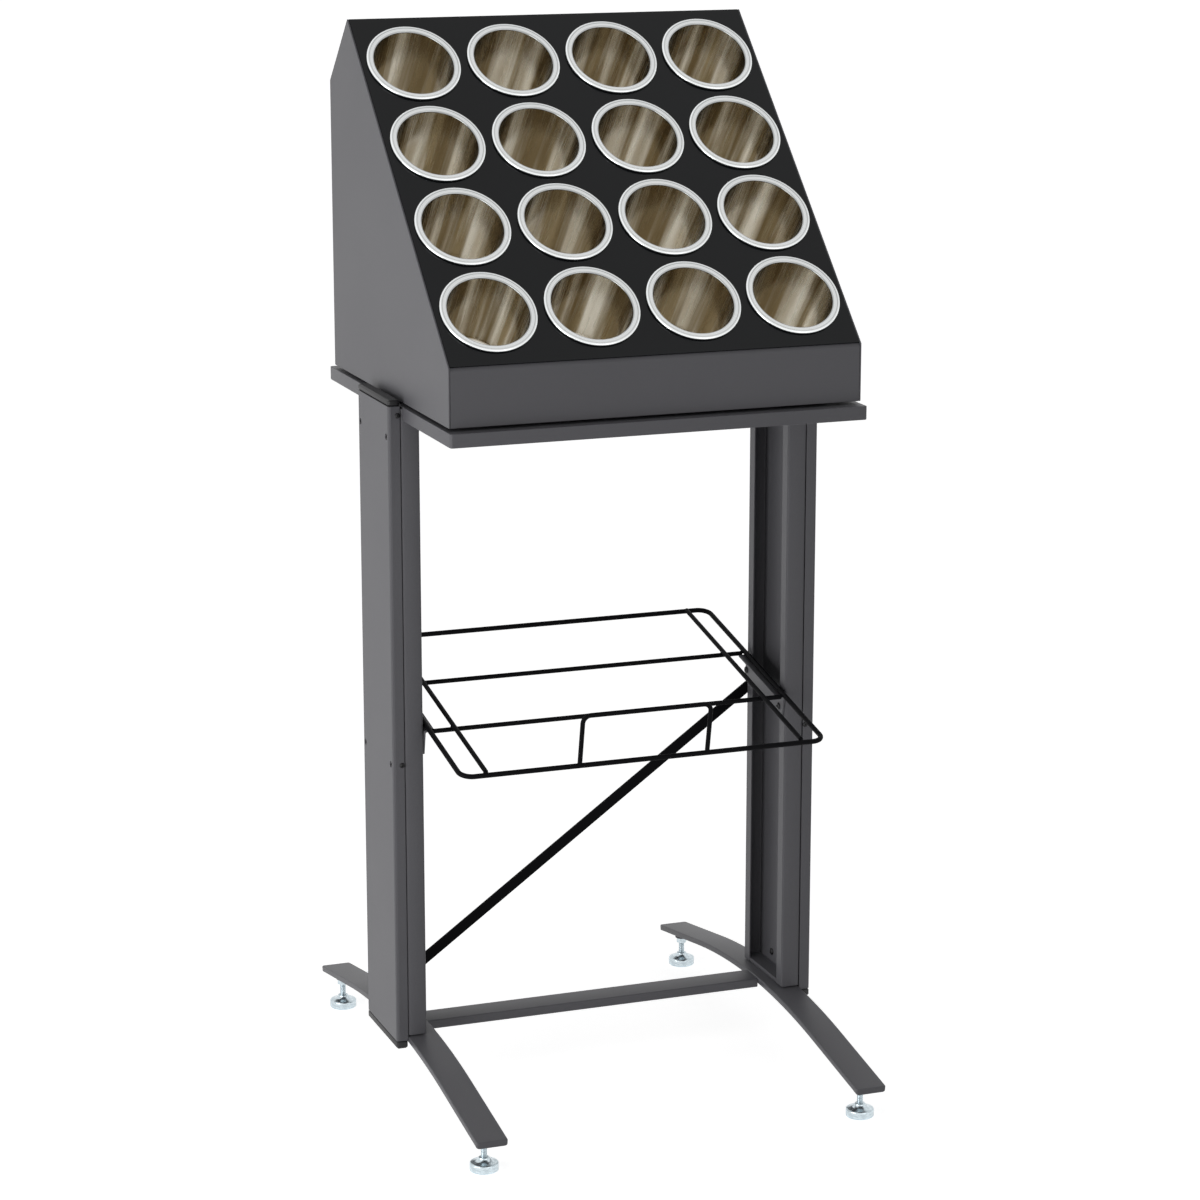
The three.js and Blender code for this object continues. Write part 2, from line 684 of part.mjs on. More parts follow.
function studGeometry() {
  const radius = STUD_DIAMETER / 2;
  const bottom = PAD_HEIGHT - PAD_SOCKET + GAP;
  const top = bossBottom + STUD_ENGAGEMENT;
  const profile = [
    new THREE.Vector2(0, bottom),
    new THREE.Vector2(radius - STUD_CHAMFER, bottom),
    new THREE.Vector2(radius, bottom + STUD_CHAMFER),
    new THREE.Vector2(radius, top - STUD_CHAMFER),
    new THREE.Vector2(radius - STUD_CHAMFER, top),
    new THREE.Vector2(0, top),
  ];
  return new THREE.LatheGeometry(profile, STUD_FACETS).rotateX(Math.PI / 2);
}

function nutGeometry() {
  const flats = 6;
  const radius = NUT_ACROSS_FLATS / 2 / Math.cos(Math.PI / flats);
  const hexagon = [];
  for (let i = 0; i < flats; i += 1) {
    const angle = (2 * Math.PI * i) / flats;
    hexagon.push(new THREE.Vector2(radius * Math.cos(angle), radius * Math.sin(angle)));
  }
  const shape = polygon(hexagon);
  shape.holes.push(new THREE.Path().absarc(0, 0, STUD_DIAMETER / 2 + GAP, 0, Math.PI * 2));
  return extruded(shape, NUT_HEIGHT, STUD_FACETS / 2).translate(0, 0, nutBottom);
}

for (const [name, x, y] of corners) {
  const foot = addPiece(station, `cabinet_foot_${name}`, cabinetFootGeometry(), rubber);
  const acrossFoot = cabinetWidth / 2 - CABINET_FOOT_INSET;
  const alongFoot = cabinetDepth / 2 - CABINET_FOOT_INSET;
  foot.position.set(x * acrossFoot, y * alongFoot, SHELF_HEIGHT);
}
addPiece(station, 'shelf', shelfGeometry(), paintGrey);
for (const [name, outward] of sides) {
  const flank = new THREE.Group();
  flank.rotation.z = outward > 0 ? 0 : Math.PI;
  station.add(flank);
  addPiece(flank, `post_${name}`, postGeometry(), paintGrey);
  addPiece(flank, `cover_${name}`, coverGeometry(), paintGrey);
  const capMiddle = coverOuter - COVER_WIDTH / 2;
  const topCap = addPiece(flank, `cap_top_${name}`, capGeometry(TOP_CAP), blackPlastic);
  topCap.position.set(capMiddle, 0, coverTop);
  const bottomCap = addPiece(flank, `cap_bottom_${name}`, capGeometry(BOTTOM_CAP), blackPlastic);
  bottomCap.position.set(capMiddle, 0, coverBottom);
  bottomCap.rotation.x = Math.PI;
  addPiece(flank, `foot_bar_${name}`, footBarGeometry(), paintGrey).position.x = footMiddle;
}
addPiece(station, 'crossbar', crossbarGeometry(), paintGrey);
addPiece(station, 'brace', braceGeometry(), paintWire);
for (const [name, x, y] of corners) {
  const leveller = new THREE.Group();
  leveller.position.set(x * footMiddle, y * levellerY, 0);
  station.add(leveller);
  addPiece(leveller, `pad_${name}`, padGeometry(), zinc);
  addPiece(leveller, `stud_${name}`, studGeometry(), zinc);
  addPiece(leveller, `lock_nut_${name}`, nutGeometry(), zinc);
}

// Basket

const basket = new THREE.Group();
basket.rotation.x = BASKET_TILT;
basket.position.set(0, 0, BASKET_HEIGHT);
station.add(basket);

const frameRear = BASKET_DEPTH / 2 - BASKET_FORWARD;
const frameFront = -BASKET_DEPTH / 2 - BASKET_FORWARD;
const sideWireLevel = (BASKET_WIRE + GAP) / 2; // the side wires lie over the wires that run across

// One wire bent round, with its ends meeting in the middle of the rear.
function basketFrameGeometry() {
  const place = (x, y) => new THREE.Vector3(x, y, 0);
  const x = frameHalfWidth - BASKET_CORNER;
  const rear = frameRear - BASKET_CORNER;
  const front = frameFront + BASKET_CORNER;
  const quarter = Math.PI / 2;
  const arc = (cornerX, cornerY, start) => (
    arcPoints(new THREE.Vector2(cornerX, cornerY), BASKET_CORNER, start, start - quarter, place)
  );
  return bentWire([
    place(GAP / 2, frameRear),
    ...arc(x, rear, quarter),
    ...arc(x, front, 0),
    ...arc(-x, front, -quarter),
    ...arc(-x, rear, -2 * quarter),
    place(-GAP / 2, frameRear),
  ], FRAME_WIRE);
}

// An arch of wire that stands on the front of the frame.
function basketStopGeometry() {
  const place = (x, z) => new THREE.Vector3(STOP_SHIFT + x, frameFront, z);
  const x = STOP_WIDTH / 2;
  const top = STOP_HEIGHT - STOP_CORNER;
  const foot = FRAME_WIRE / 2 + GAP;
  const quarter = Math.PI / 2;
  return bentWire([
    place(-x, foot),
    ...arcPoints(new THREE.Vector2(STOP_CORNER - x, top), STOP_CORNER, 2 * quarter, quarter, place),
    ...arcPoints(new THREE.Vector2(x - STOP_CORNER, top), STOP_CORNER, quarter, 0, place),
    place(x, foot),
  ], BASKET_WIRE);
}

const firstCrossWire = 1;
const lastCrossWire = BASKET_BAYS - firstCrossWire;

function crossWireY(index) {
  return THREE.MathUtils.lerp(frameFront, frameRear, index / BASKET_BAYS);
}

// An angle welded under the frame between the cross wires, with its upright leg screwed to the post.
function bracketGeometry(outward) {
  const outer = postInner - GAP;
  const inner = outer - BRACKET_LEDGE;
  const top = -FRAME_WIRE / 2 - GAP;
  const low = top - BRACKET_DROP - BRACKET_SHEET;
  const section = foldedSheet([
    new THREE.Vector2(outer, low),
    new THREE.Vector2(outer, top),
    new THREE.Vector2(inner, top),
  ], BRACKET_SHEET);
  const rear = crossWireY(lastCrossWire) - BASKET_WIRE / 2 - GAP;
  const front = crossWireY(firstCrossWire) + BASKET_WIRE / 2 + GAP;
  const length = rear - front;
  const angle = towardsFront(extruded(section, length)).translate(0, rear, 0);
  const holeY = POST_DEPTH / 2 - POST_LIP / 2;
  const holes = [-holeY, holeY].map((y) => (
    new THREE.CylinderGeometry(BRACKET_HOLE / 2, BRACKET_HOLE / 2, 4 * BRACKET_SHEET, STUD_FACETS)
      .rotateZ(Math.PI / 2)
      .translate(outer, y, top - BRACKET_HOLE_DROP)
  ));
  const drilled = cut(angle, ...holes);
  return outward > 0 ? drilled : mirrored(drilled);
}

function mirrored(geometry) {
  const flipped = geometry.clone().scale(-1, 1, 1);
  const index = flipped.index.array;
  for (let i = 0; i < index.length; i += 3) {
    [index[i], index[i + 1]] = [index[i + 1], index[i]];
  }
  return flipped;
}

addPiece(basket, 'basket_frame', basketFrameGeometry(), paintWire);
for (let i = firstCrossWire; i <= lastCrossWire; i += 1) {
  const length = 2 * frameHalfWidth - FRAME_WIRE - 2 * GAP;
  const wire = addPiece(basket, `basket_cross_wire_${i}`, straightWire(length, BASKET_WIRE), paintWire);
  wire.rotation.z = Math.PI / 2;
  wire.position.set(0, crossWireY(i), -sideWireLevel);
}
for (const [name, outward] of sides) {
  const length = BASKET_DEPTH - FRAME_WIRE - 2 * GAP;
  const wire = addPiece(basket, `basket_side_wire_${name}`, straightWire(length, BASKET_WIRE), paintWire);
  wire.position.set(outward * sideWireX, -BASKET_FORWARD, sideWireLevel);
  addPiece(basket, `basket_bracket_${name}`, bracketGeometry(outward), paintGrey);
}
addPiece(basket, 'basket_stop', basketStopGeometry(), paintWire);

export default station;
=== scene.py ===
# %% [markdown]
# # A condiment station in Blender
# The object is a free-standing station: a folded-sheet cabinet with a sloping black faceplate and
# sixteen lift-out steel cups, on a stand of two channel posts with a wire basket and arched feet.
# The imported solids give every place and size. This lesson dresses them: crisp solids get soft
# edges, turned and bent pieces are made smooth, and each surface gets a finish of its own.

# %% Load the solids
import json
import math

import bmesh
import bpy
from mathutils import Matrix, Vector


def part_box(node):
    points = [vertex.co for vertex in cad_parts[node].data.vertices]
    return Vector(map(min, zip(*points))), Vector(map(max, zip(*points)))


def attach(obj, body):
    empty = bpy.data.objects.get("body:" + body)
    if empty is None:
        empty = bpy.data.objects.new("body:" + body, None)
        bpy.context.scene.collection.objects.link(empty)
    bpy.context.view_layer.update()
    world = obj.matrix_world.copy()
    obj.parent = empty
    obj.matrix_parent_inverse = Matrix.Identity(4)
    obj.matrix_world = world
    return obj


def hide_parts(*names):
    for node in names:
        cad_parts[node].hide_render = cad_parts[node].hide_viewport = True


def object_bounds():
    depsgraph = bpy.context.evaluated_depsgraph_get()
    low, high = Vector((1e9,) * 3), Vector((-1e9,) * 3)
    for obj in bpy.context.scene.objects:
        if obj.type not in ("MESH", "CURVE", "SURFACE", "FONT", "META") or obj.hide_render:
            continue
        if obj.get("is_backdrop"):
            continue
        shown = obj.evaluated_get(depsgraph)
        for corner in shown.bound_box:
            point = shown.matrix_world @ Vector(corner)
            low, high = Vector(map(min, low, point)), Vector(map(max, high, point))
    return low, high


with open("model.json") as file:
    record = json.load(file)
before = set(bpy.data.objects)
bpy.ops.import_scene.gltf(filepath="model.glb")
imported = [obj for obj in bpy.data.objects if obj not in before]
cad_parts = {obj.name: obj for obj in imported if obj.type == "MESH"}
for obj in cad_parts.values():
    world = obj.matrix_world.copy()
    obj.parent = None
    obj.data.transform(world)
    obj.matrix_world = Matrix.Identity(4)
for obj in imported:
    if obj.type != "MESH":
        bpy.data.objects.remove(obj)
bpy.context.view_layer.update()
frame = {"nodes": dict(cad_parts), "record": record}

# %% [markdown]
# ## The camera
# The photograph looks at the front and the left side from a little above. Its place was fitted by
# least squares to points of the object, so it is written as a position, two angles and a lens.
# No lens shift is used, because the same camera also turns round the object for the other views.

# %% Camera
CAMERA_AT = (-1.49243, -4.05615, 1.66589)
CAMERA_YAW = 0.35546
CAMERA_PITCH = 0.23653
FOCAL_PIXELS = 3467.7
IMAGE_PIXELS = 1200
SENSOR = 36


def in_scene(name, data):
    """A new object in the scene, at the origin."""
    thing = bpy.data.objects.new(name, data)
    bpy.context.scene.collection.objects.link(thing)
    return thing


camera_data = bpy.data.cameras.new("camera")
camera_data.sensor_width = SENSOR
camera_data.lens = FOCAL_PIXELS / IMAGE_PIXELS * SENSOR
camera_data.dof.use_dof = False
camera = in_scene("camera", camera_data)
camera.location = CAMERA_AT
camera.rotation_euler = (math.pi / 2 - CAMERA_PITCH, 0, -CAMERA_YAW)
bpy.context.scene.camera = camera
print("lens:", round(camera_data.lens, 1), "mm")

# %% [markdown]
# ## Helpers for node trees
# Shader and geometry trees are built the same way: a node is added, and its inputs get constants or
# links. Two small functions do that, which keeps each tree short to read.


# %% Node helpers
def set_inputs(tree, node, **inputs):
    """Gives a node's own sockets, by name or by a number such as _0, a constant or a link."""
    for name, value in inputs.items():
        key = int(name[1:]) if name[1:].isdigit() else name.replace("_", " ")
        socket = node.inputs[key]
        if isinstance(value, bpy.types.NodeSocket):
            tree.links.new(value, socket)
        else:
            socket.default_value = value


def add_node(tree, kind, settings=None, **inputs):
    """Adds a node. Settings are the node's own properties."""
    node = tree.nodes.new(kind)
    for name, value in (settings or {}).items():
        setattr(node, name, value)
    set_inputs(tree, node, **inputs)
    return node


def new_tree(name, tree_kind, inputs, outputs):
    """A node group with named inputs and outputs, and its two end nodes."""
    tree = bpy.data.node_groups.new(name, tree_kind)
    for direction, sockets in (("INPUT", inputs), ("OUTPUT", outputs)):
        for title, kind in sockets.items():
            tree.interface.new_socket(name=title, in_out=direction, socket_type=f"NodeSocket{kind}")
    return tree, tree.nodes.new("NodeGroupInput"), tree.nodes.new("NodeGroupOutput")


def math_node(tree, operation, a, b=0.0):
    return add_node(tree, "ShaderNodeMath", {"operation": operation}, _0=a, _1=b).outputs[0]


# %% [markdown]
# ## The grain of paint
# Powder paint is never quite flat: it has a fine orange peel, and its colour drifts a little over
# a panel. Several finishes need that, so it is a shader group. It puts out only what changes over
# the surface, and each finish sets its own values.

# %% Paint group
CLOUD_SCALE = 7.0
SPECK = 0.22  # how much the peel changes the colour
ROUGH_DRIFT = 0.6
SURFACE_OUTPUTS = {"Color": "Color", "Roughness": "Float", "Height": "Float"}

paint_group, g_in, g_out = new_tree(
    "paint_grain", "ShaderNodeTree",
    {"Base": "Color", "Grain Size": "Float", "Drift": "Float", "Rough": "Float"}, SURFACE_OUTPUTS)
place = add_node(paint_group, "ShaderNodeTexCoord").outputs["Object"]
peel = add_node(paint_group, "ShaderNodeTexNoise", Vector=place, Scale=g_in.outputs["Grain Size"],
                Detail=3.0).outputs[0]
cloud = add_node(paint_group, "ShaderNodeTexNoise", Vector=place, Scale=CLOUD_SCALE, Detail=4.0).outputs[0]
drift = math_node(paint_group, "SUBTRACT", cloud, 0.5)
drift = math_node(paint_group, "MULTIPLY", drift, g_in.outputs["Drift"])
speck = math_node(paint_group, "MULTIPLY", math_node(paint_group, "SUBTRACT", peel, 0.5), SPECK)
level = math_node(paint_group, "ADD", math_node(paint_group, "ADD", drift, speck), 1.0)
tint = add_node(paint_group, "ShaderNodeVectorMath", {"operation": "SCALE"}, _0=g_in.outputs["Base"],
                Scale=level)
rough = math_node(paint_group, "MULTIPLY", drift, ROUGH_DRIFT)
rough = math_node(paint_group, "ADD", g_in.outputs["Rough"], rough)
set_inputs(paint_group, g_out, Color=tint.outputs[0], Roughness=rough, Height=peel)
print("shader group:", paint_group.name)

# %% [markdown]
# ## The streaks of worked metal
# Brushing and turning leave broad light and dark bands with fine hairs in them. On the cup wall the
# broad bands are also painted reflection. Both come from one noise at two scales. The group is told
# which way the streaks run by the vector that it is given.

# %% Streak group
BAND_LOW, BAND_HIGH = 0.40, 0.58  # a narrow range gives bands with a clear edge
HAIR_SHARE = 0.35
HAIR_ROUGH = 0.25

# For the cup wall, the broad bands that this group mixes are partly painted reflection.
streak_group, g_in, g_out = new_tree(
    "brushed_streaks", "ShaderNodeTree",
    {"Along": "Vector", "Light": "Color", "Dark": "Color", "Bands": "Float", "Hairs": "Float",
     "Rough": "Float"}, SURFACE_OUTPUTS)
bands = add_node(streak_group, "ShaderNodeTexNoise", Vector=g_in.outputs["Along"],
                 Scale=g_in.outputs["Bands"], Detail=3.0, Roughness=0.55)
hairs = add_node(streak_group, "ShaderNodeTexNoise", Vector=g_in.outputs["Along"],
                 Scale=g_in.outputs["Hairs"], Detail=2.0)
spread = add_node(streak_group, "ShaderNodeMapRange", {"interpolation_type": "SMOOTHSTEP"},
                  Value=bands.outputs[0], _1=BAND_LOW, _2=BAND_HIGH)
fine = math_node(streak_group, "SUBTRACT", hairs.outputs[0], 0.5)
both = math_node(streak_group, "MULTIPLY", fine, HAIR_SHARE)
both = math_node(streak_group, "ADD", both, spread.outputs[0])
mixed = add_node(streak_group, "ShaderNodeMix", {"data_type": "RGBA", "clamp_factor": True}, _0=both,
                 _6=g_in.outputs["Dark"], _7=g_in.outputs["Light"])
rough = math_node(streak_group, "MULTIPLY", fine, HAIR_ROUGH)
rough = math_node(streak_group, "ADD", rough, g_in.outputs["Rough"])
set_inputs(streak_group, g_out, Color=mixed.outputs[2], Roughness=rough, Height=hairs.outputs[0])
print("shader group:", streak_group.name)

# %% [markdown]
# ## Painted and moulded finishes
# The stand and the cabinet are powder coated in charcoal grey. The faceplate is black and smoother
# than the rest, so its roughness is low. The wires and the brace are a darker, satin black. Caps
# and rubber feet are moulded, and the screws are blackened steel. All of them use the paint group.

# %% Painted finishes
PEEL_HEIGHT = 0.0004


def dressed_material(name, group, height, bump):
    """A material whose colour, roughness and bumps come from a shader group."""
    material = bpy.data.materials.new(name)
    material.use_nodes = True
    tree = material.node_tree
    shader = tree.nodes["Principled BSDF"]
    surface = add_node(tree, "ShaderNodeGroup", {"node_tree": group})
    lift = add_node(tree, "ShaderNodeBump", Strength=bump, Distance=height,
                    Height=surface.outputs["Height"])
    set_inputs(tree, shader, Base_Color=surface.outputs["Color"], Roughness=surface.outputs["Roughness"],
               Normal=lift.outputs[0])
    return material, tree, surface, shader


def painted(name, base, grain, drift, rough, bump, shine, metallic=0.0):
    material, tree, surface, shader = dressed_material(name, paint_group, PEEL_HEIGHT, bump)
    set_inputs(tree, surface, Base=(*base, 1), Grain_Size=grain, Drift=drift, Rough=rough)
    set_inputs(tree, shader, Metallic=metallic, Specular_IOR_Level=shine)
    return material


charcoal = painted("charcoal_powder_coat", (0.115, 0.114, 0.124), grain=1100, drift=0.16, rough=0.45,
                   bump=0.16, shine=0.3)
face_black = painted("gloss_black_faceplate", (0.0045, 0.0053, 0.0066), grain=500, drift=0.3, rough=0.2,
                     bump=0.02, shine=0.18)
wire_black = painted("satin_black_wire", (0.005, 0.005, 0.006), grain=1600, drift=0.2, rough=0.55,
                     bump=0.1, shine=0.05)
cap_black = painted("moulded_black_cap", (0.016, 0.016, 0.017), grain=2400, drift=0.12, rough=0.5,
                    bump=0.12, shine=0.4)
foot_rubber = painted("cabinet_foot_rubber", (0.012, 0.012, 0.012), grain=1500, drift=0.3, rough=0.8,
                      bump=0.3, shine=0.3)
screw_black = painted("blackened_screw", (0.02, 0.02, 0.021), grain=1800, drift=0.3, rough=0.35,
                      bump=0.1, shine=0.5, metallic=0.6)
print("painted:", [m.name for m in (charcoal, face_black, wire_black, cap_black, foot_rubber, screw_black)])

# %% [markdown]
# ## Metal finishes
# The cups are bare steel: the wall is brushed along its length, and its broad near-white and gold-brown
# bands are partly painted reflection. The floor and the rolled rim have fine rings from being turned.
# The levelling feet are zinc plated. A streak has to follow the piece and not the room, so each metal
# piece carries its own unplaced coordinates, and the finish reads those.

# %% Metal finishes
LOCAL = "turned_at"  # the attribute with a piece's own coordinates
HAIR_HEIGHT = 0.0002
ALONG_AXIS = (1, 1, 0.02)  # hardly any change along Z gives streaks along it
FLATTENED = (1, 1, 3)  # a quicker change along Z lays them level


def brushed(name, light, dark, bands, hairs, rough, bump, stretch=(1, 1, 1), rings=False):
    """Metal whose streaks run as stretch says, or in rings round the piece's own axis."""
    material, tree, surface, shader = dressed_material(name, streak_group, HAIR_HEIGHT, bump)
    own = add_node(tree, "ShaderNodeAttribute", {"attribute_name": LOCAL}).outputs["Vector"]
    if rings:
        level = add_node(tree, "ShaderNodeVectorMath", {"operation": "MULTIPLY"}, _0=own, _1=(1, 1, 0))
        radius = add_node(tree, "ShaderNodeVectorMath", {"operation": "LENGTH"}, _0=level.outputs[0])
        own = add_node(tree, "ShaderNodeCombineXYZ", X=radius.outputs["Value"]).outputs[0]
    along = add_node(tree, "ShaderNodeMapping", Vector=own, Scale=stretch).outputs[0]
    set_inputs(tree, surface, Along=along, Light=(*light, 1), Dark=(*dark, 1), Bands=bands, Hairs=hairs,
               Rough=rough)
    set_inputs(tree, shader, Metallic=1.0)
    return material


# The wall's broad near-white and gold-brown bands are partly brush marks and partly painted reflection.
cup_wall_marks_and_painted_sheen = brushed("brushed_cup_wall", (1.0, 0.99, 0.95), (0.34, 0.275, 0.17), bands=36, hairs=420,
                     rough=0.25, bump=0.06, stretch=ALONG_AXIS)
cup_floor = brushed("spun_cup_floor", (0.88, 0.86, 0.81), (0.74, 0.71, 0.65), bands=420, hairs=1500,
                    rough=0.36, bump=0.05, rings=True)
cup_rim = brushed("bright_rolled_rim", (0.90, 0.92, 0.92), (0.34, 0.35, 0.35), bands=380, hairs=1800,
                  rough=0.18, bump=0.04, rings=True)
zinc = brushed("zinc_plate", (0.64, 0.72, 0.76), (0.52, 0.60, 0.64), bands=160, hairs=1200,
               rough=0.24, bump=0.1, stretch=FLATTENED)
print("metals:", [m.name for m in (cup_wall_marks_and_painted_sheen, cup_floor, cup_rim, zinc)])

# %% [markdown]
# ## Keeping a piece
# Every finished piece sits at the origin with its place in its mesh, rides on its body, and hides
# the solids that it stands for. One function does that for all of them. Another takes the mesh that an
# object's modifiers make, because a kept piece has no live modifiers.

# %% Keeping a piece
record = frame["record"]
body_of = {node: body for body, nodes in record["behaviour"]["bodies"].items() for node in nodes}


def keep(name, mesh, nodes, body=None):
    """Puts a finished mesh into the scene as a piece that stands for the named solids."""
    piece = in_scene(name, mesh)
    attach(piece, body or body_of[nodes[0]])
    if nodes:
        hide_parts(*nodes)
    return piece


def evaluated_mesh(obj):
    """The mesh that an object's modifiers make, as a plain mesh, and the object is thrown away."""
    graph = bpy.context.evaluated_depsgraph_get()
    mesh = bpy.data.meshes.new_from_object(obj.evaluated_get(graph), depsgraph=graph)
    bpy.data.objects.remove(obj)
    return mesh


def mesh_from(bm, name):
    """A bmesh as a plain mesh, and the bmesh is thrown away."""
    mesh = bpy.data.meshes.new(name)
    bm.to_mesh(mesh)
    bm.free()
    return mesh


def only_material(mesh, material):
    """Gives a whole mesh one finish."""
    mesh.materials.clear()
    mesh.materials.append(material)
    mesh.polygons.foreach_set("material_index", [0] * len(mesh.polygons))
    return mesh


# %% [markdown]
# ## Cutting and joining
# The covers have holes for their screws, and the feet have welded bosses with a blind bore. A Boolean
# modifier makes such joints from closed meshes, in the same way as a drill or a weld does.


# %% Cutting and joining
def combined(mesh, operation, others):
    """Joins other closed meshes to a mesh, or cuts them out of it."""
    helper = in_scene("helper", mesh)
    tools = [in_scene("tool", other) for other in others]
    for tool in tools:
        step = helper.modifiers.new("combine", "BOOLEAN")
        step.operation = operation
        step.solver = "EXACT"
        step.object = tool
    result = evaluated_mesh(helper)
    for tool in tools:
        bpy.data.objects.remove(tool)
    return result


# %% [markdown]
# ## Folded sheet and bar
# Real folded sheet has small rounded edges that catch a line of light. Redrawing each piece could
# change a size, so the crisp solid is copied, its triangles are merged into flat faces, and a Bevel
# modifier rounds the edges. Hardened normals keep the flat faces flat, so only the rounding shows.

# %% Softened copies of solids
MERGE = 1e-6
FLAT_WITHIN = math.radians(0.5)
SHARP_FROM = math.radians(40)
BEVEL_STEPS = 2


def softened(node, edge, material, holes=()):
    """A copy of a solid with rounded edges, and with holes cut by the given meshes."""
    bm = bmesh.new()
    bm.from_mesh(frame["nodes"][node].data)
    bmesh.ops.remove_doubles(bm, verts=bm.verts, dist=MERGE)
    bmesh.ops.dissolve_limit(bm, angle_limit=FLAT_WITHIN, verts=bm.verts, edges=bm.edges)
    mesh = mesh_from(bm, f"{node}_finish")
    if holes:
        mesh = combined(mesh, "DIFFERENCE", holes)
    only_material(mesh, material).shade_smooth()
    mesh.set_sharp_from_angle(angle=SHARP_FROM)
    helper = in_scene("helper", mesh)
    bevel = helper.modifiers.new("soft_edges", "BEVEL")
    bevel.width = edge
    bevel.segments = BEVEL_STEPS
    bevel.limit_method = "ANGLE"
    bevel.angle_limit = SHARP_FROM
    bevel.harden_normals = True
    return keep(f"{node}_finish", evaluated_mesh(helper), [node])


SHEET_EDGE = 0.0005
PANEL_EDGE = 0.0006
SHELF_EDGE = 0.0007
SIDES = (("left", -1), ("right", 1))
CORNERS = ("front_left", "front_right", "rear_left", "rear_right")
for node in ("side_left", "side_right", "crossbar"):
    softened(node, PANEL_EDGE, charcoal)
for node in ("apron", "back_panel", "base_pan"):
    softened(node, SHEET_EDGE, charcoal)
softened("shelf", SHELF_EDGE, charcoal)
softened("brace", SHEET_EDGE, wire_black)
for side, _ in SIDES:
    softened(f"post_{side}", SHEET_EDGE, charcoal)
    softened(f"cap_top_{side}", SHEET_EDGE, cap_black)
    softened(f"cap_bottom_{side}", SHEET_EDGE, cap_black)
    softened(f"basket_bracket_{side}", SHEET_EDGE, charcoal)
for corner in CORNERS:
    softened(f"cabinet_foot_{corner}", SHEET_EDGE, foot_rubber)

# %% [markdown]
# ## The post covers
# A cover closes the outer side of each post. Four screws hold it, sunk in round holes so that nothing
# stands out at the sides. The holes are cut before the edges are rounded, so theirs are soft too.

# %% Post covers
COVER_EDGE = 0.0004
COVER_HOLE = 0.0039
COVER_SCREWS = [(y, z) for z in (0.449, 0.866) for y in (-0.055, 0.055)]
COVER_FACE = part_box("cover_right")[1].x
POST_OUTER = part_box("post_right")[1].x
PEG_AROUND = 32
peg_length = 1.6 * (COVER_FACE - POST_OUTER)  # half of it goes in, and stops short of the post


def peg(at):
    """A round cutter along X."""
    bm = bmesh.new()
    lying = Matrix.Translation(at) @ Matrix.Rotation(math.pi / 2, 4, "Y")
    bmesh.ops.create_cone(bm, cap_ends=True, segments=PEG_AROUND, radius1=COVER_HOLE, radius2=COVER_HOLE,
                          depth=peg_length, matrix=lying)
    return mesh_from(bm, "peg")


for side, sign in SIDES:
    pegs = [peg((sign * COVER_FACE, y, z)) for y, z in COVER_SCREWS]
    cover = softened(f"cover_{side}", COVER_EDGE, charcoal, holes=pegs)
    print(cover.name, "faces:", len(cover.data.polygons))

# %% [markdown]
# ## Turned pieces
# The cups and the pads of the levelling feet are turned shapes: a profile goes round an axis. A Screw
# modifier could do that, but a Geometry Nodes tree can also store each point's own place, which the
# streaks of the metal need. It lays out a grid, reads the profile's points row by row, and wraps the
# grid round the axis.

# %% Tree for turned pieces
POINT_VECTOR = {"data_type": "FLOAT_VECTOR", "domain": "POINT"}


def stored_places(tree, geometry):
    """Stores each point's place under the name that the metal finishes read."""
    here = add_node(tree, "GeometryNodeInputPosition").outputs[0]
    return add_node(tree, "GeometryNodeStoreNamedAttribute", POINT_VECTOR, Geometry=geometry, Name=LOCAL,
                    Value=here).outputs[0]


def shape_tree(name, inputs):
    """A geometry tree with these inputs, and one more for its finish."""
    return new_tree(name, "GeometryNodeTree", {**inputs, "Material": "Material"}, {"Geometry": "Geometry"})


def finish_tree(tree, t_in, t_out, geometry):
    """The end of every tree: real geometry with its finish."""
    real = add_node(tree, "GeometryNodeRealizeInstances", Geometry=geometry)
    dressed = add_node(tree, "GeometryNodeSetMaterial", Geometry=real.outputs[0],
                       Material=t_in.outputs["Material"])
    set_inputs(tree, t_out, Geometry=dressed.outputs[0])


turned_tree, t_in, t_out = shape_tree("turned_piece", {"Profile": "Object", "Rows": "Int", "Around": "Int"})
profile = add_node(turned_tree, "GeometryNodeObjectInfo", Object=t_in.outputs["Profile"])
seam = math_node(turned_tree, "ADD", t_in.outputs["Around"], 1.0)
grid = add_node(turned_tree, "GeometryNodeMeshGrid", Vertices_X=seam, Vertices_Y=t_in.outputs["Rows"])
index = add_node(turned_tree, "GeometryNodeInputIndex").outputs[0]
row = math_node(turned_tree, "MODULO", index, t_in.outputs["Rows"])
column = math_node(turned_tree, "FLOOR", math_node(turned_tree, "DIVIDE", index, t_in.outputs["Rows"]))
point = add_node(turned_tree, "GeometryNodeSampleIndex", POINT_VECTOR, Geometry=profile.outputs["Geometry"],
                 Index=row, Value=add_node(turned_tree, "GeometryNodeInputPosition").outputs[0])
parts = add_node(turned_tree, "ShaderNodeSeparateXYZ", Vector=point.outputs[0]).outputs
turn = math_node(turned_tree, "DIVIDE", column, t_in.outputs["Around"])
turn = math_node(turned_tree, "MULTIPLY", turn, 2 * math.pi)
across = math_node(turned_tree, "MULTIPLY", parts[0], math_node(turned_tree, "COSINE", turn))
deep = math_node(turned_tree, "MULTIPLY", parts[0], math_node(turned_tree, "SINE", turn))
wrapped = add_node(turned_tree, "ShaderNodeCombineXYZ", X=across, Y=deep, Z=parts[2])
moved = add_node(turned_tree, "GeometryNodeSetPosition", Geometry=grid.outputs["Mesh"],
                 Position=wrapped.outputs[0])
stored = stored_places(turned_tree, moved.outputs[0])
closed = add_node(turned_tree, "GeometryNodeMergeByDistance", Geometry=stored, Distance=MERGE)
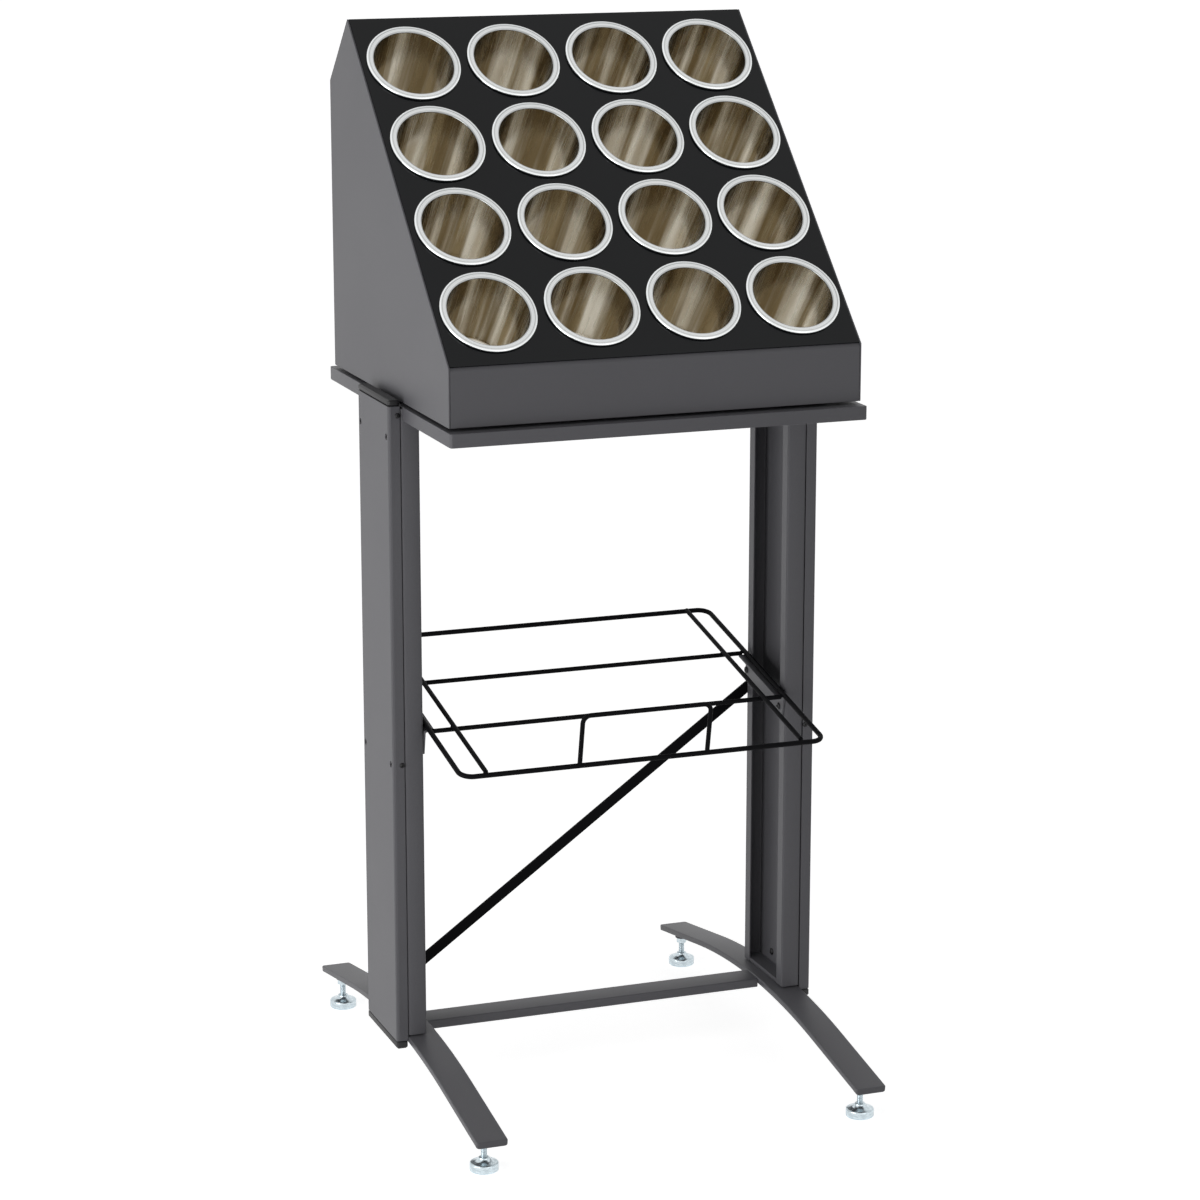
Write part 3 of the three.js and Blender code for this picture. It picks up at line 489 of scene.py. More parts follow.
smooth = add_node(turned_tree, "GeometryNodeSetShadeSmooth", Geometry=closed.outputs[0])
finish_tree(turned_tree, t_in, t_out, smooth.outputs[0])
print("tree:", turned_tree.name, "nodes:", len(turned_tree.nodes))

# %% [markdown]
# ## Running a tree
# A tree needs an object to run on. An empty carrier takes the modifier, its inputs are set by each
# socket's identifier, and the result becomes a plain mesh. Profiles and paths come in as helper
# objects made of points and edges, which are thrown away afterwards.


# %% Running a tree
def run_tree(tree, **values):
    """Evaluates a geometry tree once and gives its result as a plain mesh."""
    carrier = in_scene("carrier", bpy.data.meshes.new("carrier"))
    modifier = carrier.modifiers.new("tree", "NODES")
    modifier.node_group = tree
    for item in tree.interface.items_tree:
        if item.in_out == "INPUT" and item.name.replace(" ", "_") in values:
            modifier[item.identifier] = values[item.name.replace(" ", "_")]
    return only_material(evaluated_mesh(carrier), values["Material"])


def outward(mesh):
    """Turns all the faces of a closed mesh outwards."""
    bm = bmesh.new()
    bm.from_mesh(mesh)
    bmesh.ops.recalc_face_normals(bm, faces=bm.faces)
    bm.to_mesh(mesh)
    bm.free()
    return mesh


def line_object(points, closed=False):
    """A helper of points joined by edges, in order."""
    mesh = bpy.data.meshes.new("line")
    edges = [(i, i + 1) for i in range(len(points) - 1)]
    if closed:
        edges.append((len(points) - 1, 0))
    mesh.from_pydata([tuple(p) for p in points], edges, [])
    return in_scene("line", mesh)


def turned(profile_points, around, material):
    """A turned mesh from (radius, height) pairs that run from axis to axis."""
    helper = line_object([(r, 0, z) for r, z in profile_points])
    mesh = run_tree(turned_tree, Profile=helper, Rows=len(profile_points), Around=around, Material=material)
    bpy.data.objects.remove(helper)
    return outward(mesh)


def arc(centre, radius, start, end, steps):
    """Points on an arc of a profile, from one angle to another in degrees."""
    angles = [math.radians(start + (end - start) * i / steps) for i in range(steps + 1)]
    return [(centre[0] + radius * math.cos(a), centre[1] + radius * math.sin(a)) for a in angles]


# %% [markdown]
# ## The cup
# Each cup is a drawn steel pot that hangs by its rolled rim. The rim is a bead, bright from being
# rolled, with a fine groove between it and the lip of the mouth. It could be pulled out of a cylinder
# by hand, but a profile keeps the wall even. It is drawn once in metres, from the axis at the bottom,
# up the outside, over the rim and down the inside. Wall, rim and floor each get their own finish.

# %% Cup
RIM_RADIUS = 0.060
MOUTH_RADIUS = 0.0505
CUP_WALL = 0.001
CUP_TAPER = 0.003
CUP_DEPTH = 0.110
CUP_CORNER = 0.007
RIM_FLOOR = 0.0003
RIM_TOP = 0.0048
RIM_GROOVE = 0.0012
GROOVE_IN = 2.2  # beads from the rim's edge to the groove
LIP = 0.0022
CUP_AROUND = 96

floor_radius = MOUTH_RADIUS - CUP_TAPER
bead = (RIM_TOP - RIM_FLOOR) / 2
bead_middle = (RIM_TOP + RIM_FLOOR) / 2
outer_corner = (floor_radius + CUP_WALL - CUP_CORNER, CUP_CORNER - CUP_DEPTH)
inner_corner = (floor_radius - CUP_CORNER, CUP_CORNER + CUP_WALL - CUP_DEPTH)
cup_profile = [(0, -CUP_DEPTH)]
cup_profile += arc(outer_corner, CUP_CORNER, -90, 0, steps=5)
cup_profile += [(MOUTH_RADIUS + CUP_WALL, RIM_FLOOR)]
cup_profile += arc((RIM_RADIUS - bead, bead_middle), bead, -90, 135, steps=10)
cup_profile += [(RIM_RADIUS - GROOVE_IN * bead, RIM_TOP - RIM_GROOVE)]
cup_profile += arc((MOUTH_RADIUS + LIP, RIM_TOP - RIM_GROOVE / 2 - LIP), LIP, 110, 180, steps=6)
cup_profile += arc(inner_corner, CUP_CORNER, 0, -90, steps=5)
cup_profile += [(0, CUP_WALL - CUP_DEPTH)]
cup_mesh = turned(cup_profile, CUP_AROUND, cup_wall_marks_and_painted_sheen)
cup_mesh.materials.append(cup_rim)
cup_mesh.materials.append(cup_floor)
for face in cup_mesh.polygons:
    if face.center.z > 0:
        face.material_index = 1
    elif face.center.z < CUP_CORNER / 2 - CUP_DEPTH:
        face.material_index = 2
print("cup points in profile:", len(cup_profile), "faces:", len(cup_mesh.polygons))

# %% [markdown]
# ## Sixteen cups on the slope
# The faceplate slopes at 43.5 degrees. Places on it are easiest to give flat, as rows and columns
# round its middle, and one matrix then lays them on the slope. Every cup is a copy of its own, because
# each lifts out by itself.

# %% Cups in their places
SLOPE = math.radians(43.5)
RIM_PITCH = 0.131
FACE_LENGTH = 0.549
APRON_TOP = 0.9785
CABINET_FRONT = -0.240115
CUP_TURN = math.radians(75)  # each cup is dropped in at another turn, so its streaks differ
CUP_LINES = (1, 2, 3, 4)
MIDDLE_LINE = 2.5

face_middle = Vector((0, CABINET_FRONT + FACE_LENGTH / 2 * math.cos(SLOPE),
                      APRON_TOP + FACE_LENGTH / 2 * math.sin(SLOPE)))
on_slope = Matrix.Translation(face_middle) @ Matrix.Rotation(SLOPE, 4, "X")
cup_places = {f"cup_{row}_{column}": Vector(((column - MIDDLE_LINE) * RIM_PITCH,
                                             (MIDDLE_LINE - row) * RIM_PITCH, 0))
              for row in CUP_LINES for column in CUP_LINES}
for number, (node, offset) in enumerate(cup_places.items()):
    mesh = cup_mesh.copy()
    mesh.transform(on_slope @ Matrix.Translation(offset) @ Matrix.Rotation(number * CUP_TURN, 4, "Z"))
    keep(f"{node}_finish", mesh, [node])
low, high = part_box("cup_1_1")
heights = [v.co.z for v in bpy.data.objects["cup_1_1_finish"].data.vertices]
print("cup solid, bottom and top:", round(low.z, 4), round(high.z, 4))
print("cup piece, bottom and top:", round(min(heights), 4), round(max(heights), 4))

# %% [markdown]
# ## The faceplate
# The faceplate is one sheet with sixteen round holes and a flange along each side. A flat curve with
# holes is the natural way to draw it: filled, extruded and bevelled, it gives clean round holes with
# softly broken edges, which show when a cup is lifted out. The flanges are added as two strips.

# %% Faceplate
SHEET = 0.002
PLATE_WIDTH = 0.5254
PLATE_END_CUT = 0.0023
HOLE_RADIUS = 0.0535
FLANGE = 0.013
FLANGE_END = 0.258
EDGE = 0.0004
HOLE_STEPS = 72


def flat_loop(curve, points):
    spline = curve.splines.new("POLY")
    spline.points.add(len(points) - 1)
    for spot, (x, y) in zip(spline.points, points):
        spot.co = (x, y, 0, 1)
    spline.use_cyclic_u = True


plate = bpy.data.curves.new("plate", "CURVE")
plate.dimensions = "2D"
plate.fill_mode = "BOTH"
plate.extrude = SHEET / 2 - EDGE
plate.bevel_depth = EDGE
plate.bevel_resolution = 1
plate.offset = -EDGE
half, top, end = PLATE_WIDTH / 2, FACE_LENGTH / 2, PLATE_END_CUT - FACE_LENGTH / 2
flat_loop(plate, [(-half, end), (half, end), (half, top), (-half, top)])
ring = [2 * math.pi * i / HOLE_STEPS for i in range(HOLE_STEPS)]
for offset in cup_places.values():
    flat_loop(plate, [(offset.x + HOLE_RADIUS * math.cos(a), offset.y + HOLE_RADIUS * math.sin(a))
                      for a in ring])
bm = bmesh.new()
bm.from_mesh(evaluated_mesh(in_scene("plate", plate)))
bmesh.ops.remove_doubles(bm, verts=bm.verts, dist=MERGE)
bmesh.ops.translate(bm, verts=bm.verts, vec=(0, 0, -SHEET / 2))
for _, sign in SIDES:
    strip = bmesh.ops.create_cube(bm, size=1)["verts"]
    bmesh.ops.scale(bm, verts=strip, vec=(SHEET, 2 * FLANGE_END, FLANGE - SHEET))
    bmesh.ops.translate(bm, verts=strip, vec=(sign * (half - SHEET / 2), 0, -(FLANGE + SHEET) / 2))
plate_mesh = only_material(mesh_from(bm, "plate"), face_black)
plate_mesh.shade_flat()
plate_mesh.transform(on_slope)
keep("faceplate_finish", plate_mesh, ["faceplate"])
print("faceplate faces:", len(plate_mesh.polygons))

# %% [markdown]
# ## Bent wire
# The basket is round wire. A bevelled curve would do, but its corners would be rounded by hand. A
# second tree makes each wire from a plain path instead: it rounds the corners of the path with a
# fillet, as a bending machine does with straight wire, and sweeps a circle along it.

# %% Tree for bent wire
BEND_STEPS = 10
wire_tree, t_in, t_out = shape_tree(
    "bent_wire", {"Path": "Object", "Bend": "Float", "Wire Radius": "Float", "Sides": "Int"})
route = add_node(wire_tree, "GeometryNodeObjectInfo", Object=t_in.outputs["Path"])
curve = add_node(wire_tree, "GeometryNodeMeshToCurve", Mesh=route.outputs["Geometry"])
rounded = add_node(wire_tree, "GeometryNodeFilletCurve", {"mode": "POLY"}, Curve=curve.outputs[0],
                   Count=BEND_STEPS, Radius=t_in.outputs["Bend"])
circle = add_node(wire_tree, "GeometryNodeCurvePrimitiveCircle", Resolution=t_in.outputs["Sides"],
                  Radius=t_in.outputs["Wire Radius"])
swept = add_node(wire_tree, "GeometryNodeCurveToMesh", Curve=rounded.outputs[0],
                 Profile_Curve=circle.outputs[0], Fill_Caps=True)
smooth = add_node(wire_tree, "GeometryNodeSetShadeSmooth", Geometry=swept.outputs[0])
finish_tree(wire_tree, t_in, t_out, smooth.outputs[0])
print("tree:", wire_tree.name, "nodes:", len(wire_tree.nodes))

# %% [markdown]
# ## The wire basket
# An outer frame has bent corners, with wires across and along it, and a stop stands on its front. All
# of it is drawn flat and then tilted, because the basket slopes down towards the front.

# %% Basket wires
BASKET_TILT = math.radians(11.3)
BASKET_HEIGHT = 0.508
FRAME_WIRE = 0.0065
BASKET_WIRE = 0.006
FRAME_X = 0.24075
FRAME_REAR, FRAME_FRONT = 0.1985, -0.2065
FRAME_BEND = 0.016
SIDE_WIRE_X = 0.20925
WIRE_LEVEL = 0.00315  # cross wires lie this far below the frame's middle, and side wires above it
FIT = 0.0003
STOP_X, STOP_SHIFT, STOP_HEIGHT, STOP_BEND = 0.0845, -0.004, 0.068, 0.010
WIRE_SIDES = 20
WIRE_SHARP_FROM = math.radians(60)
in_basket = Matrix.Translation((0, 0, BASKET_HEIGHT)) @ Matrix.Rotation(BASKET_TILT, 4, "X")


def wire(node, points, diameter, bend=0.0, closed=False):
    helper = line_object(points, closed)
    mesh = run_tree(wire_tree, Path=helper, Bend=bend, Wire_Radius=diameter / 2, Sides=WIRE_SIDES,
                    Material=wire_black)
    bpy.data.objects.remove(helper)
    mesh.set_sharp_from_angle(angle=WIRE_SHARP_FROM)
    mesh.transform(in_basket)
    return keep(f"{node}_finish", outward(mesh), [node])


wire("basket_frame", [(FRAME_X, FRAME_REAR, 0), (FRAME_X, FRAME_FRONT, 0), (-FRAME_X, FRAME_FRONT, 0),
                      (-FRAME_X, FRAME_REAR, 0)], FRAME_WIRE, FRAME_BEND, closed=True)
clear_of_frame = FRAME_WIRE / 2 + FIT
cross_places = [FRAME_FRONT + (FRAME_REAR - FRAME_FRONT) * i / 3 for i in (1, 2)]
reach = FRAME_X - clear_of_frame
for number, y in enumerate(cross_places, 1):
    wire(f"basket_cross_wire_{number}", [(-reach, y, -WIRE_LEVEL), (reach, y, -WIRE_LEVEL)], BASKET_WIRE)
for side, sign in SIDES:
    ends = (FRAME_FRONT + clear_of_frame, FRAME_REAR - clear_of_frame)
    wire(f"basket_side_wire_{side}", [(sign * SIDE_WIRE_X, y, WIRE_LEVEL) for y in ends], BASKET_WIRE)
stop_outline = ((-STOP_X, clear_of_frame), (-STOP_X, STOP_HEIGHT), (STOP_X, STOP_HEIGHT),
                (STOP_X, clear_of_frame))
wire("basket_stop", [(STOP_SHIFT + x, FRAME_FRONT, z) for x, z in stop_outline], BASKET_WIRE, STOP_BEND)

# %% [markdown]
# ## Small things that repeat
# Screws and weld beads sit on the pieces in many places. A third tree puts one shape on each point of
# a list and turns it to face the way that the point says. The list is a helper mesh whose points carry
# a direction. Each copy is also spun by chance, as no two screws stop at the same turn.

# %% Tree for repeated fittings
FACING = "facing"
SEED = 7
fitting_tree, t_in, t_out = shape_tree(
    "repeated_fitting", {"Places": "Object", "Shape": "Object", "Vary": "Float", "Seed": "Int"})
places = add_node(fitting_tree, "GeometryNodeObjectInfo", Object=t_in.outputs["Places"])
shape = add_node(fitting_tree, "GeometryNodeObjectInfo", Object=t_in.outputs["Shape"], As_Instance=True)
facing = add_node(fitting_tree, "GeometryNodeInputNamedAttribute", {"data_type": "FLOAT_VECTOR"},
                  Name=FACING)
turned_to = add_node(fitting_tree, "FunctionNodeAlignRotationToVector", {"axis": "Z"},
                     Vector=facing.outputs["Attribute"])
spin = add_node(fitting_tree, "FunctionNodeRandomValue", {"data_type": "FLOAT"}, _2=0.0, _3=2 * math.pi,
                Seed=t_in.outputs["Seed"])
own_turn = add_node(fitting_tree, "FunctionNodeAxisAngleToRotation", Axis=(0, 0, 1), Angle=spin.outputs[1])
both_turns = add_node(fitting_tree, "FunctionNodeRotateRotation", {"rotation_space": "LOCAL"},
                      Rotation=turned_to.outputs[0], Rotate_By=own_turn.outputs[0])
vary = add_node(fitting_tree, "FunctionNodeRandomValue", {"data_type": "FLOAT"}, _2=-1.0, _3=1.0,
                Seed=t_in.outputs["Seed"])
swell = math_node(fitting_tree, "MULTIPLY", vary.outputs[1], t_in.outputs["Vary"])
swell = math_node(fitting_tree, "ADD", swell, 1.0)
spread = add_node(fitting_tree, "GeometryNodeInstanceOnPoints", Points=places.outputs["Geometry"],
                  Instance=shape.outputs["Geometry"], Rotation=both_turns.outputs[0], Scale=swell)
finish_tree(fitting_tree, t_in, t_out, spread.outputs[0])
print("tree:", fitting_tree.name, "nodes:", len(fitting_tree.nodes))


def fittings(name, shape_mesh, spots, material, vary=0.0):
    """One piece with a copy of a shape at every spot, a pair of a place and a direction."""
    dots = bpy.data.meshes.new("places")
    dots.from_pydata([tuple(p) for p, _ in spots], [], [])
    directions = dots.attributes.new(FACING, "FLOAT_VECTOR", "POINT")
    directions.data.foreach_set("vector", [c for _, d in spots for c in Vector(d).normalized()])
    helpers = in_scene("places", dots), in_scene("shape", shape_mesh)
    mesh = run_tree(fitting_tree, Places=helpers[0], Shape=helpers[1], Vary=vary, Seed=SEED,
                    Material=material)
    for helper in helpers:
        bpy.data.objects.remove(helper)
    print(name, "fittings:", len(spots), "faces:", len(mesh.polygons))
    return keep(name, mesh, [], body="station")


# %% [markdown]
# ### Screws
# The brace, the brackets and the posts are held by low round-headed screws with a socket, and the
# covers and the back by smaller ones. The head is a turned shape: a flat rim, a dome and a recess.

# %% Screw heads
HEAD_AROUND = 24
HEAD_SUNK = 0.0006  # the head's rim goes this far into the sheet, so that no gap shows
HEAD_HEIGHT = 0.0026
SMALL_HEIGHT = 0.0018
RIM_SHARE = 0.35  # of the head's height, below the dome
DOME_DEGREES = (0, 25, 50, 68)
SOCKET_TAPER = 0.9
SOCKET_POINT = 1.2


def screw_head(radius, height, socket, depth):
    rim = height * RIM_SHARE
    dome = [(radius * math.cos(a), rim + (height - rim) * math.sin(a))
            for a in map(math.radians, DOME_DEGREES)]
    recess = [(socket, height), (socket * SOCKET_TAPER, height - depth), (0, height - depth * SOCKET_POINT)]
    return turned([(0, -HEAD_SUNK), (radius, -HEAD_SUNK), *dome, *recess], HEAD_AROUND, screw_black)


head = screw_head(radius=0.0046, height=HEAD_HEIGHT, socket=0.0018, depth=0.0016)
small_head = screw_head(radius=0.0034, height=SMALL_HEIGHT, socket=0.0014, depth=0.0011)
print("screw heads:", HEAD_HEIGHT, "and", SMALL_HEIGHT, "m high")

# %% [markdown]
# ### Screws in their places
# A screw sits where two pieces overlap: through the ends of the brace, through the brackets, inside the
# posts, and along the edges of the covers and the back. The posts, the covers and the back are measured
# on the solids, so that each head lies on its face.

# %% Screws
POST_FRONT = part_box("post_right")[0].y
POST_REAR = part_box("post_right")[1].y
POST_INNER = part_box("post_right")[0].x
BACK_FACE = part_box("back_panel")[1].y
BRACE_X, BRACE_ENDS, BRACE_PROUD = 0.2585, {-1: 0.106, 1: 0.478}, 0.0033
BRACKET_SHEET, BRACKET_DROP, BRACKET_SCREW_Y = 0.0025, 0.021, 0.0555
POST_SCREWS = [(y, z) for z in (0.109, 0.860) for y in (-0.022, 0.022)]
POST_EDGE_X, POST_EDGE_LEVELS = 0.2745, (0.449, 0.893)
BACK_SCREW_X, BACK_SCREW_LEVELS = 0.250, (0.93, 1.03, 1.13, 1.23)
SCREW_BELOW = 0.0001  # a sunk screw's top lies this far below the cover's face

bracket_face = POST_INNER - FIT - BRACKET_SHEET
spots = []
for _, sign in SIDES:
    spots.append(((sign * BRACE_X, POST_REAR + BRACE_PROUD, BRACE_ENDS[sign]), (0, 1, 0)))
    for y in (-BRACKET_SCREW_Y, BRACKET_SCREW_Y):
        at = in_basket @ Vector((sign * bracket_face, y, -clear_of_frame - BRACKET_DROP))
        spots.append((at, (-sign, 0, 0)))
    spots += [((sign * (POST_OUTER - SHEET), y, z), (-sign, 0, 0)) for y, z in POST_SCREWS]
fittings("stand_screws", head, spots, screw_black)

sunk = COVER_FACE - SMALL_HEIGHT - SCREW_BELOW
spots = [((sign * sunk, y, z), (sign, 0, 0)) for _, sign in SIDES for y, z in COVER_SCREWS]
for y, towards in ((POST_FRONT, -1), (POST_REAR, 1)):
    spots += [((sign * POST_EDGE_X, y, z), (0, towards, 0)) for _, sign in SIDES for z in POST_EDGE_LEVELS]
spots += [((sign * BACK_SCREW_X, BACK_FACE, z), (0, 1, 0)) for _, sign in SIDES for z in BACK_SCREW_LEVELS]
fittings("panel_screws", small_head, spots, screw_black)

# %% [markdown]
# ### Weld beads
# Where two wires meet, a small uneven bead joins them. It starts as a coarse ball, is flattened, and
# its points are pushed about by a smooth wave, so that no two sides look alike.

# %% Weld beads
BEAD_RADIUS = 0.0031
BEAD_FLAT = 0.8
BEAD_VARY = 0.12
WAVE_SIDE, WAVE_UP = 0.10, 0.08  # shares of the bead's radius

bm = bmesh.new()
bmesh.ops.create_icosphere(bm, subdivisions=2, radius=1.0)
for v in bm.verts:
    wave = 1 + WAVE_SIDE * math.sin(7 * v.co.x + 3 * v.co.y) + WAVE_UP * math.sin(9 * v.co.z)
    v.co = Vector((v.co.x, v.co.y, v.co.z * BEAD_FLAT)) * BEAD_RADIUS * wave
bead_mesh = mesh_from(bm, "bead")
bead_mesh.shade_smooth()
joins = []
for _, sign in SIDES:
    joins += [(sign * SIDE_WIRE_X, y, 0) for y in cross_places]
    joins += [(sign * (FRAME_X - FRAME_WIRE / 2), y, -WIRE_LEVEL / 2) for y in cross_places]
    joins += [(sign * SIDE_WIRE_X, y, WIRE_LEVEL / 2)
              for y in (FRAME_FRONT + FRAME_WIRE / 2, FRAME_REAR - FRAME_WIRE / 2)]
    joins.append((STOP_SHIFT + sign * STOP_X, FRAME_FRONT, FRAME_WIRE / 2))
fittings("basket_weld_beads", bead_mesh, [(in_basket @ Vector(p), (0, 0, 1)) for p in joins], wire_black,
         vary=BEAD_VARY)

# %% [markdown]
# ## The pads
# Under each end of a foot is a threaded stud with a round zinc pad and a lock nut. The pad is turned, so
# the tree of the cups makes it too: a disc with a rounded shoulder, a neck, and a socket for the stud.

# %% Pad
PAD_RADIUS = 0.018
PAD_HEIGHT = 0.017
PAD_DISC = 0.011
PAD_SHOULDER = 0.0025
PAD_CHAMFER = 0.0008
PAD_NECK = 0.0068
NECK_CURVE = ((0.0118, 0.0009), (0.0092, 0.0022), (0.0076, 0.0038))  # radius, height above the disc
NECK_STRAIGHT = 0.0010
NECK_CHAMFER = 0.0004
PAD_SOCKET = 0.005
PAD_AROUND = 64
PAD_SHARP_FROM = math.radians(50)
STUD_RADIUS = 0.004

hole_radius = STUD_RADIUS + FIT
socket_floor = PAD_HEIGHT - PAD_SOCKET
pad_profile = [(0, 0), (PAD_RADIUS - PAD_CHAMFER, 0), (PAD_RADIUS, PAD_CHAMFER)]
pad_profile += arc((PAD_RADIUS - PAD_SHOULDER, PAD_DISC - PAD_SHOULDER), PAD_SHOULDER, 0, 80, steps=6)
pad_profile += [(radius, PAD_DISC + height) for radius, height in NECK_CURVE]
pad_profile += [(PAD_NECK, PAD_HEIGHT - NECK_STRAIGHT), (PAD_NECK, PAD_HEIGHT - NECK_CHAMFER),
                (PAD_NECK - NECK_CHAMFER, PAD_HEIGHT)]
pad_profile += [(hole_radius, PAD_HEIGHT), (hole_radius, socket_floor), (0, socket_floor)]
pad_mesh = turned(pad_profile, PAD_AROUND, zinc)
pad_mesh.set_sharp_from_angle(angle=PAD_SHARP_FROM)
print("pad faces:", len(pad_mesh.polygons))

# %% [markdown]
# ## The thread
# A thread is a helix: a small ridge goes up a spiral round the stud's core. Bumps in the finish would
# leave its outline straight. Sweeping a square along a spiral curve, with its corner outwards, gives a
# real ridge with few faces.

# %% Tree for a thread
TURN_STEPS = 20
RIDGE_SIDES = 4
thread_tree, t_in, t_out = shape_tree(
    "stud_thread", {"Length": "Float", "Pitch": "Float", "Radius": "Float", "Ridge": "Float"})
turns = math_node(thread_tree, "DIVIDE", t_in.outputs["Length"], t_in.outputs["Pitch"])
helix = add_node(thread_tree, "GeometryNodeCurveSpiral", Resolution=TURN_STEPS, Rotations=turns,
                 Height=t_in.outputs["Length"], Start_Radius=t_in.outputs["Radius"],
                 End_Radius=t_in.outputs["Radius"])
ridge = add_node(thread_tree, "GeometryNodeCurvePrimitiveCircle", Resolution=RIDGE_SIDES,
                 Radius=t_in.outputs["Ridge"])
swept = add_node(thread_tree, "GeometryNodeCurveToMesh", Curve=helix.outputs[0],
                 Profile_Curve=ridge.outputs[0], Fill_Caps=True)
finish_tree(thread_tree, t_in, t_out, stored_places(thread_tree, swept.outputs[0]))
print("tree:", thread_tree.name, "nodes:", len(thread_tree.nodes))

# %% [markdown]
# ## Studs, pads and nuts in their places
# The stud is a turned core with the thread round it. Pad and stud ride on their leveller, which moves
# up and down. The lock nut stays at the foot, and its solid only needs soft edges and a zinc finish.

# %% Studs, pads and nuts
THREAD_PITCH = 0.00125
THREAD_RIDGE = 0.00055
THREAD_RUNOUT = 0.001
CORE_CHAMFER, CORE_CHAMFER_HEIGHT = 0.0004, 0.0005
CORE_AROUND = 32
NUT_EDGE = 0.0006

low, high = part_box("stud_front_left")
stud_length = high.z - low.z
core_radius = STUD_RADIUS - THREAD_RIDGE
core_tip = core_radius - CORE_CHAMFER
core = turned([(0, 0), (core_tip, 0), (core_radius, CORE_CHAMFER_HEIGHT),
               (core_radius, stud_length - CORE_CHAMFER_HEIGHT), (core_tip, stud_length), (0, stud_length)],
              CORE_AROUND, zinc)
thread = run_tree(thread_tree, Length=stud_length - 2 * THREAD_RUNOUT, Pitch=THREAD_PITCH,
                  Radius=core_radius, Ridge=THREAD_RIDGE, Material=zinc)
thread.transform(Matrix.Translation((0, 0, THREAD_RUNOUT)))
bm = bmesh.new()
bm.from_mesh(core)
bm.from_mesh(thread)
stud_mesh = only_material(mesh_from(bm, "stud"), zinc)


def own_places(mesh, centre):
    """Stores each point's place from a centre, for finishes that read it."""
    stored = mesh.attributes.new(LOCAL, "FLOAT_VECTOR", "POINT")
    stored.data.foreach_set("vector", [c for v in mesh.vertices for c in v.co - centre])


for corner in CORNERS:
    low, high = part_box(f"stud_{corner}")
    middle = (low + high) / 2
    for node, source, z in ((f"pad_{corner}", pad_mesh, 0.0), (f"stud_{corner}", stud_mesh, low.z)):
        mesh = source.copy()
        mesh.transform(Matrix.Translation((middle.x, middle.y, z)))
        keep(f"{node}_finish", mesh, [node])
    own_places(softened(f"lock_nut_{corner}", NUT_EDGE, zinc).data, middle)
print("stud length:", round(stud_length, 4), "pitch:", THREAD_PITCH)

# %% [markdown]
# ## The arched bar of a foot
# Each foot is a flat bar bent to a shallow arch, with straight ends, rounded edges and rounded tips.
# A bent box would do for the arch but not for the tips, so the bar is lofted: a rounded section is
# carried along its middle line and narrows at the tips. The ends are cut upright, so no point passes
# the bar's length.

# %% Middle line of the bar
FOOT_CROWN = 0.090
FOOT_THICK = 0.008
FOOT_LENGTH = 0.680
ARCH_RADIUS = 1.200
ARCH_SPAN = 0.400

arch_angle = math.asin(ARCH_SPAN / 2 / ARCH_RADIUS)
arch_centre = FOOT_CROWN - FOOT_THICK - ARCH_RADIUS
middle_radius = ARCH_RADIUS + FOOT_THICK / 2
half_length = FOOT_LENGTH / 2


def foot_station(y):
    """Middle of the bar and its slope at a distance from the crown, measured along the floor."""
    bend_end = middle_radius * math.sin(arch_angle)
    if abs(y) <= bend_end:
        return math.sqrt(middle_radius ** 2 - y * y) + arch_centre, math.asin(y / middle_radius)
    beyond = abs(y) - bend_end
    z = middle_radius * math.cos(arch_angle) + arch_centre - beyond * math.tan(arch_angle)
    return z, math.copysign(arch_angle, y)


print("the arch rises:", round(foot_station(0)[0] - foot_station(half_length)[0], 4), "m")

# %% Loft of the bar
FOOT_WIDTH = 0.040
TIP_RADIUS = 0.003
TIP_DEGREES = (12, 30, 48, 66, 78, 90)
FOOT_EDGE = 0.0015
EDGE_STEPS = 4
BAR_STEPS = 36
tip_start = half_length - TIP_RADIUS


def bar_section(half_width, half_thick):
    """A rectangle with rounded corners, as a loop of points."""
    loop = []
    for sx, sz, start in ((1, 1, 0), (-1, 1, 90), (-1, -1, 180), (1, -1, 270)):
        corner = (sx * (half_width - FOOT_EDGE), sz * (half_thick - FOOT_EDGE))
        loop += arc(corner, FOOT_EDGE, start, start + 90, EDGE_STEPS)
    return loop


def bar_loop(bm, y):
    """The bar's section at a distance from the crown, as new points of a bmesh."""
    into_tip = max(0.0, abs(y) - tip_start)
    narrow = TIP_RADIUS - math.sqrt(max(TIP_RADIUS ** 2 - into_tip ** 2, 0.0))
    z, lean = foot_station(y)
    loop = []
    for x, h in bar_section(FOOT_WIDTH / 2 - narrow, FOOT_THICK / 2):
        along = max(-half_length, min(half_length, y + h * math.sin(lean)))
        loop.append(bm.verts.new((x, along, z + h * math.cos(lean))))
    return loop


stations = [half_length - TIP_RADIUS * (1 - math.cos(math.radians(d))) for d in TIP_DEGREES]
stations += [tip_start - tip_start * i / BAR_STEPS for i in range(1, BAR_STEPS)]
stations = stations + [0.0] + [-y for y in reversed(stations)]
bm = bmesh.new()
loops = [bar_loop(bm, y) for y in stations]
for a, b in zip(loops, loops[1:]):
    for i in range(len(a)):
        j = (i + 1) % len(a)
        bm.faces.new((a[i], a[j], b[j], b[i]))
bm.faces.new(loops[0])
bm.faces.new(list(reversed(loops[-1])))
bmesh.ops.recalc_face_normals(bm, faces=bm.faces)
bar_mesh = mesh_from(bm, "foot")
print("bar sections:", len(loops), "faces:", len(bar_mesh.polygons))

# %% [markdown]
# ## Bosses and bores
# A short round boss under each end of a foot takes the stud, and a blind bore goes up into the bar, so
# that the stud has room when the foot is screwed down. Both are turned, then joined on and cut out.

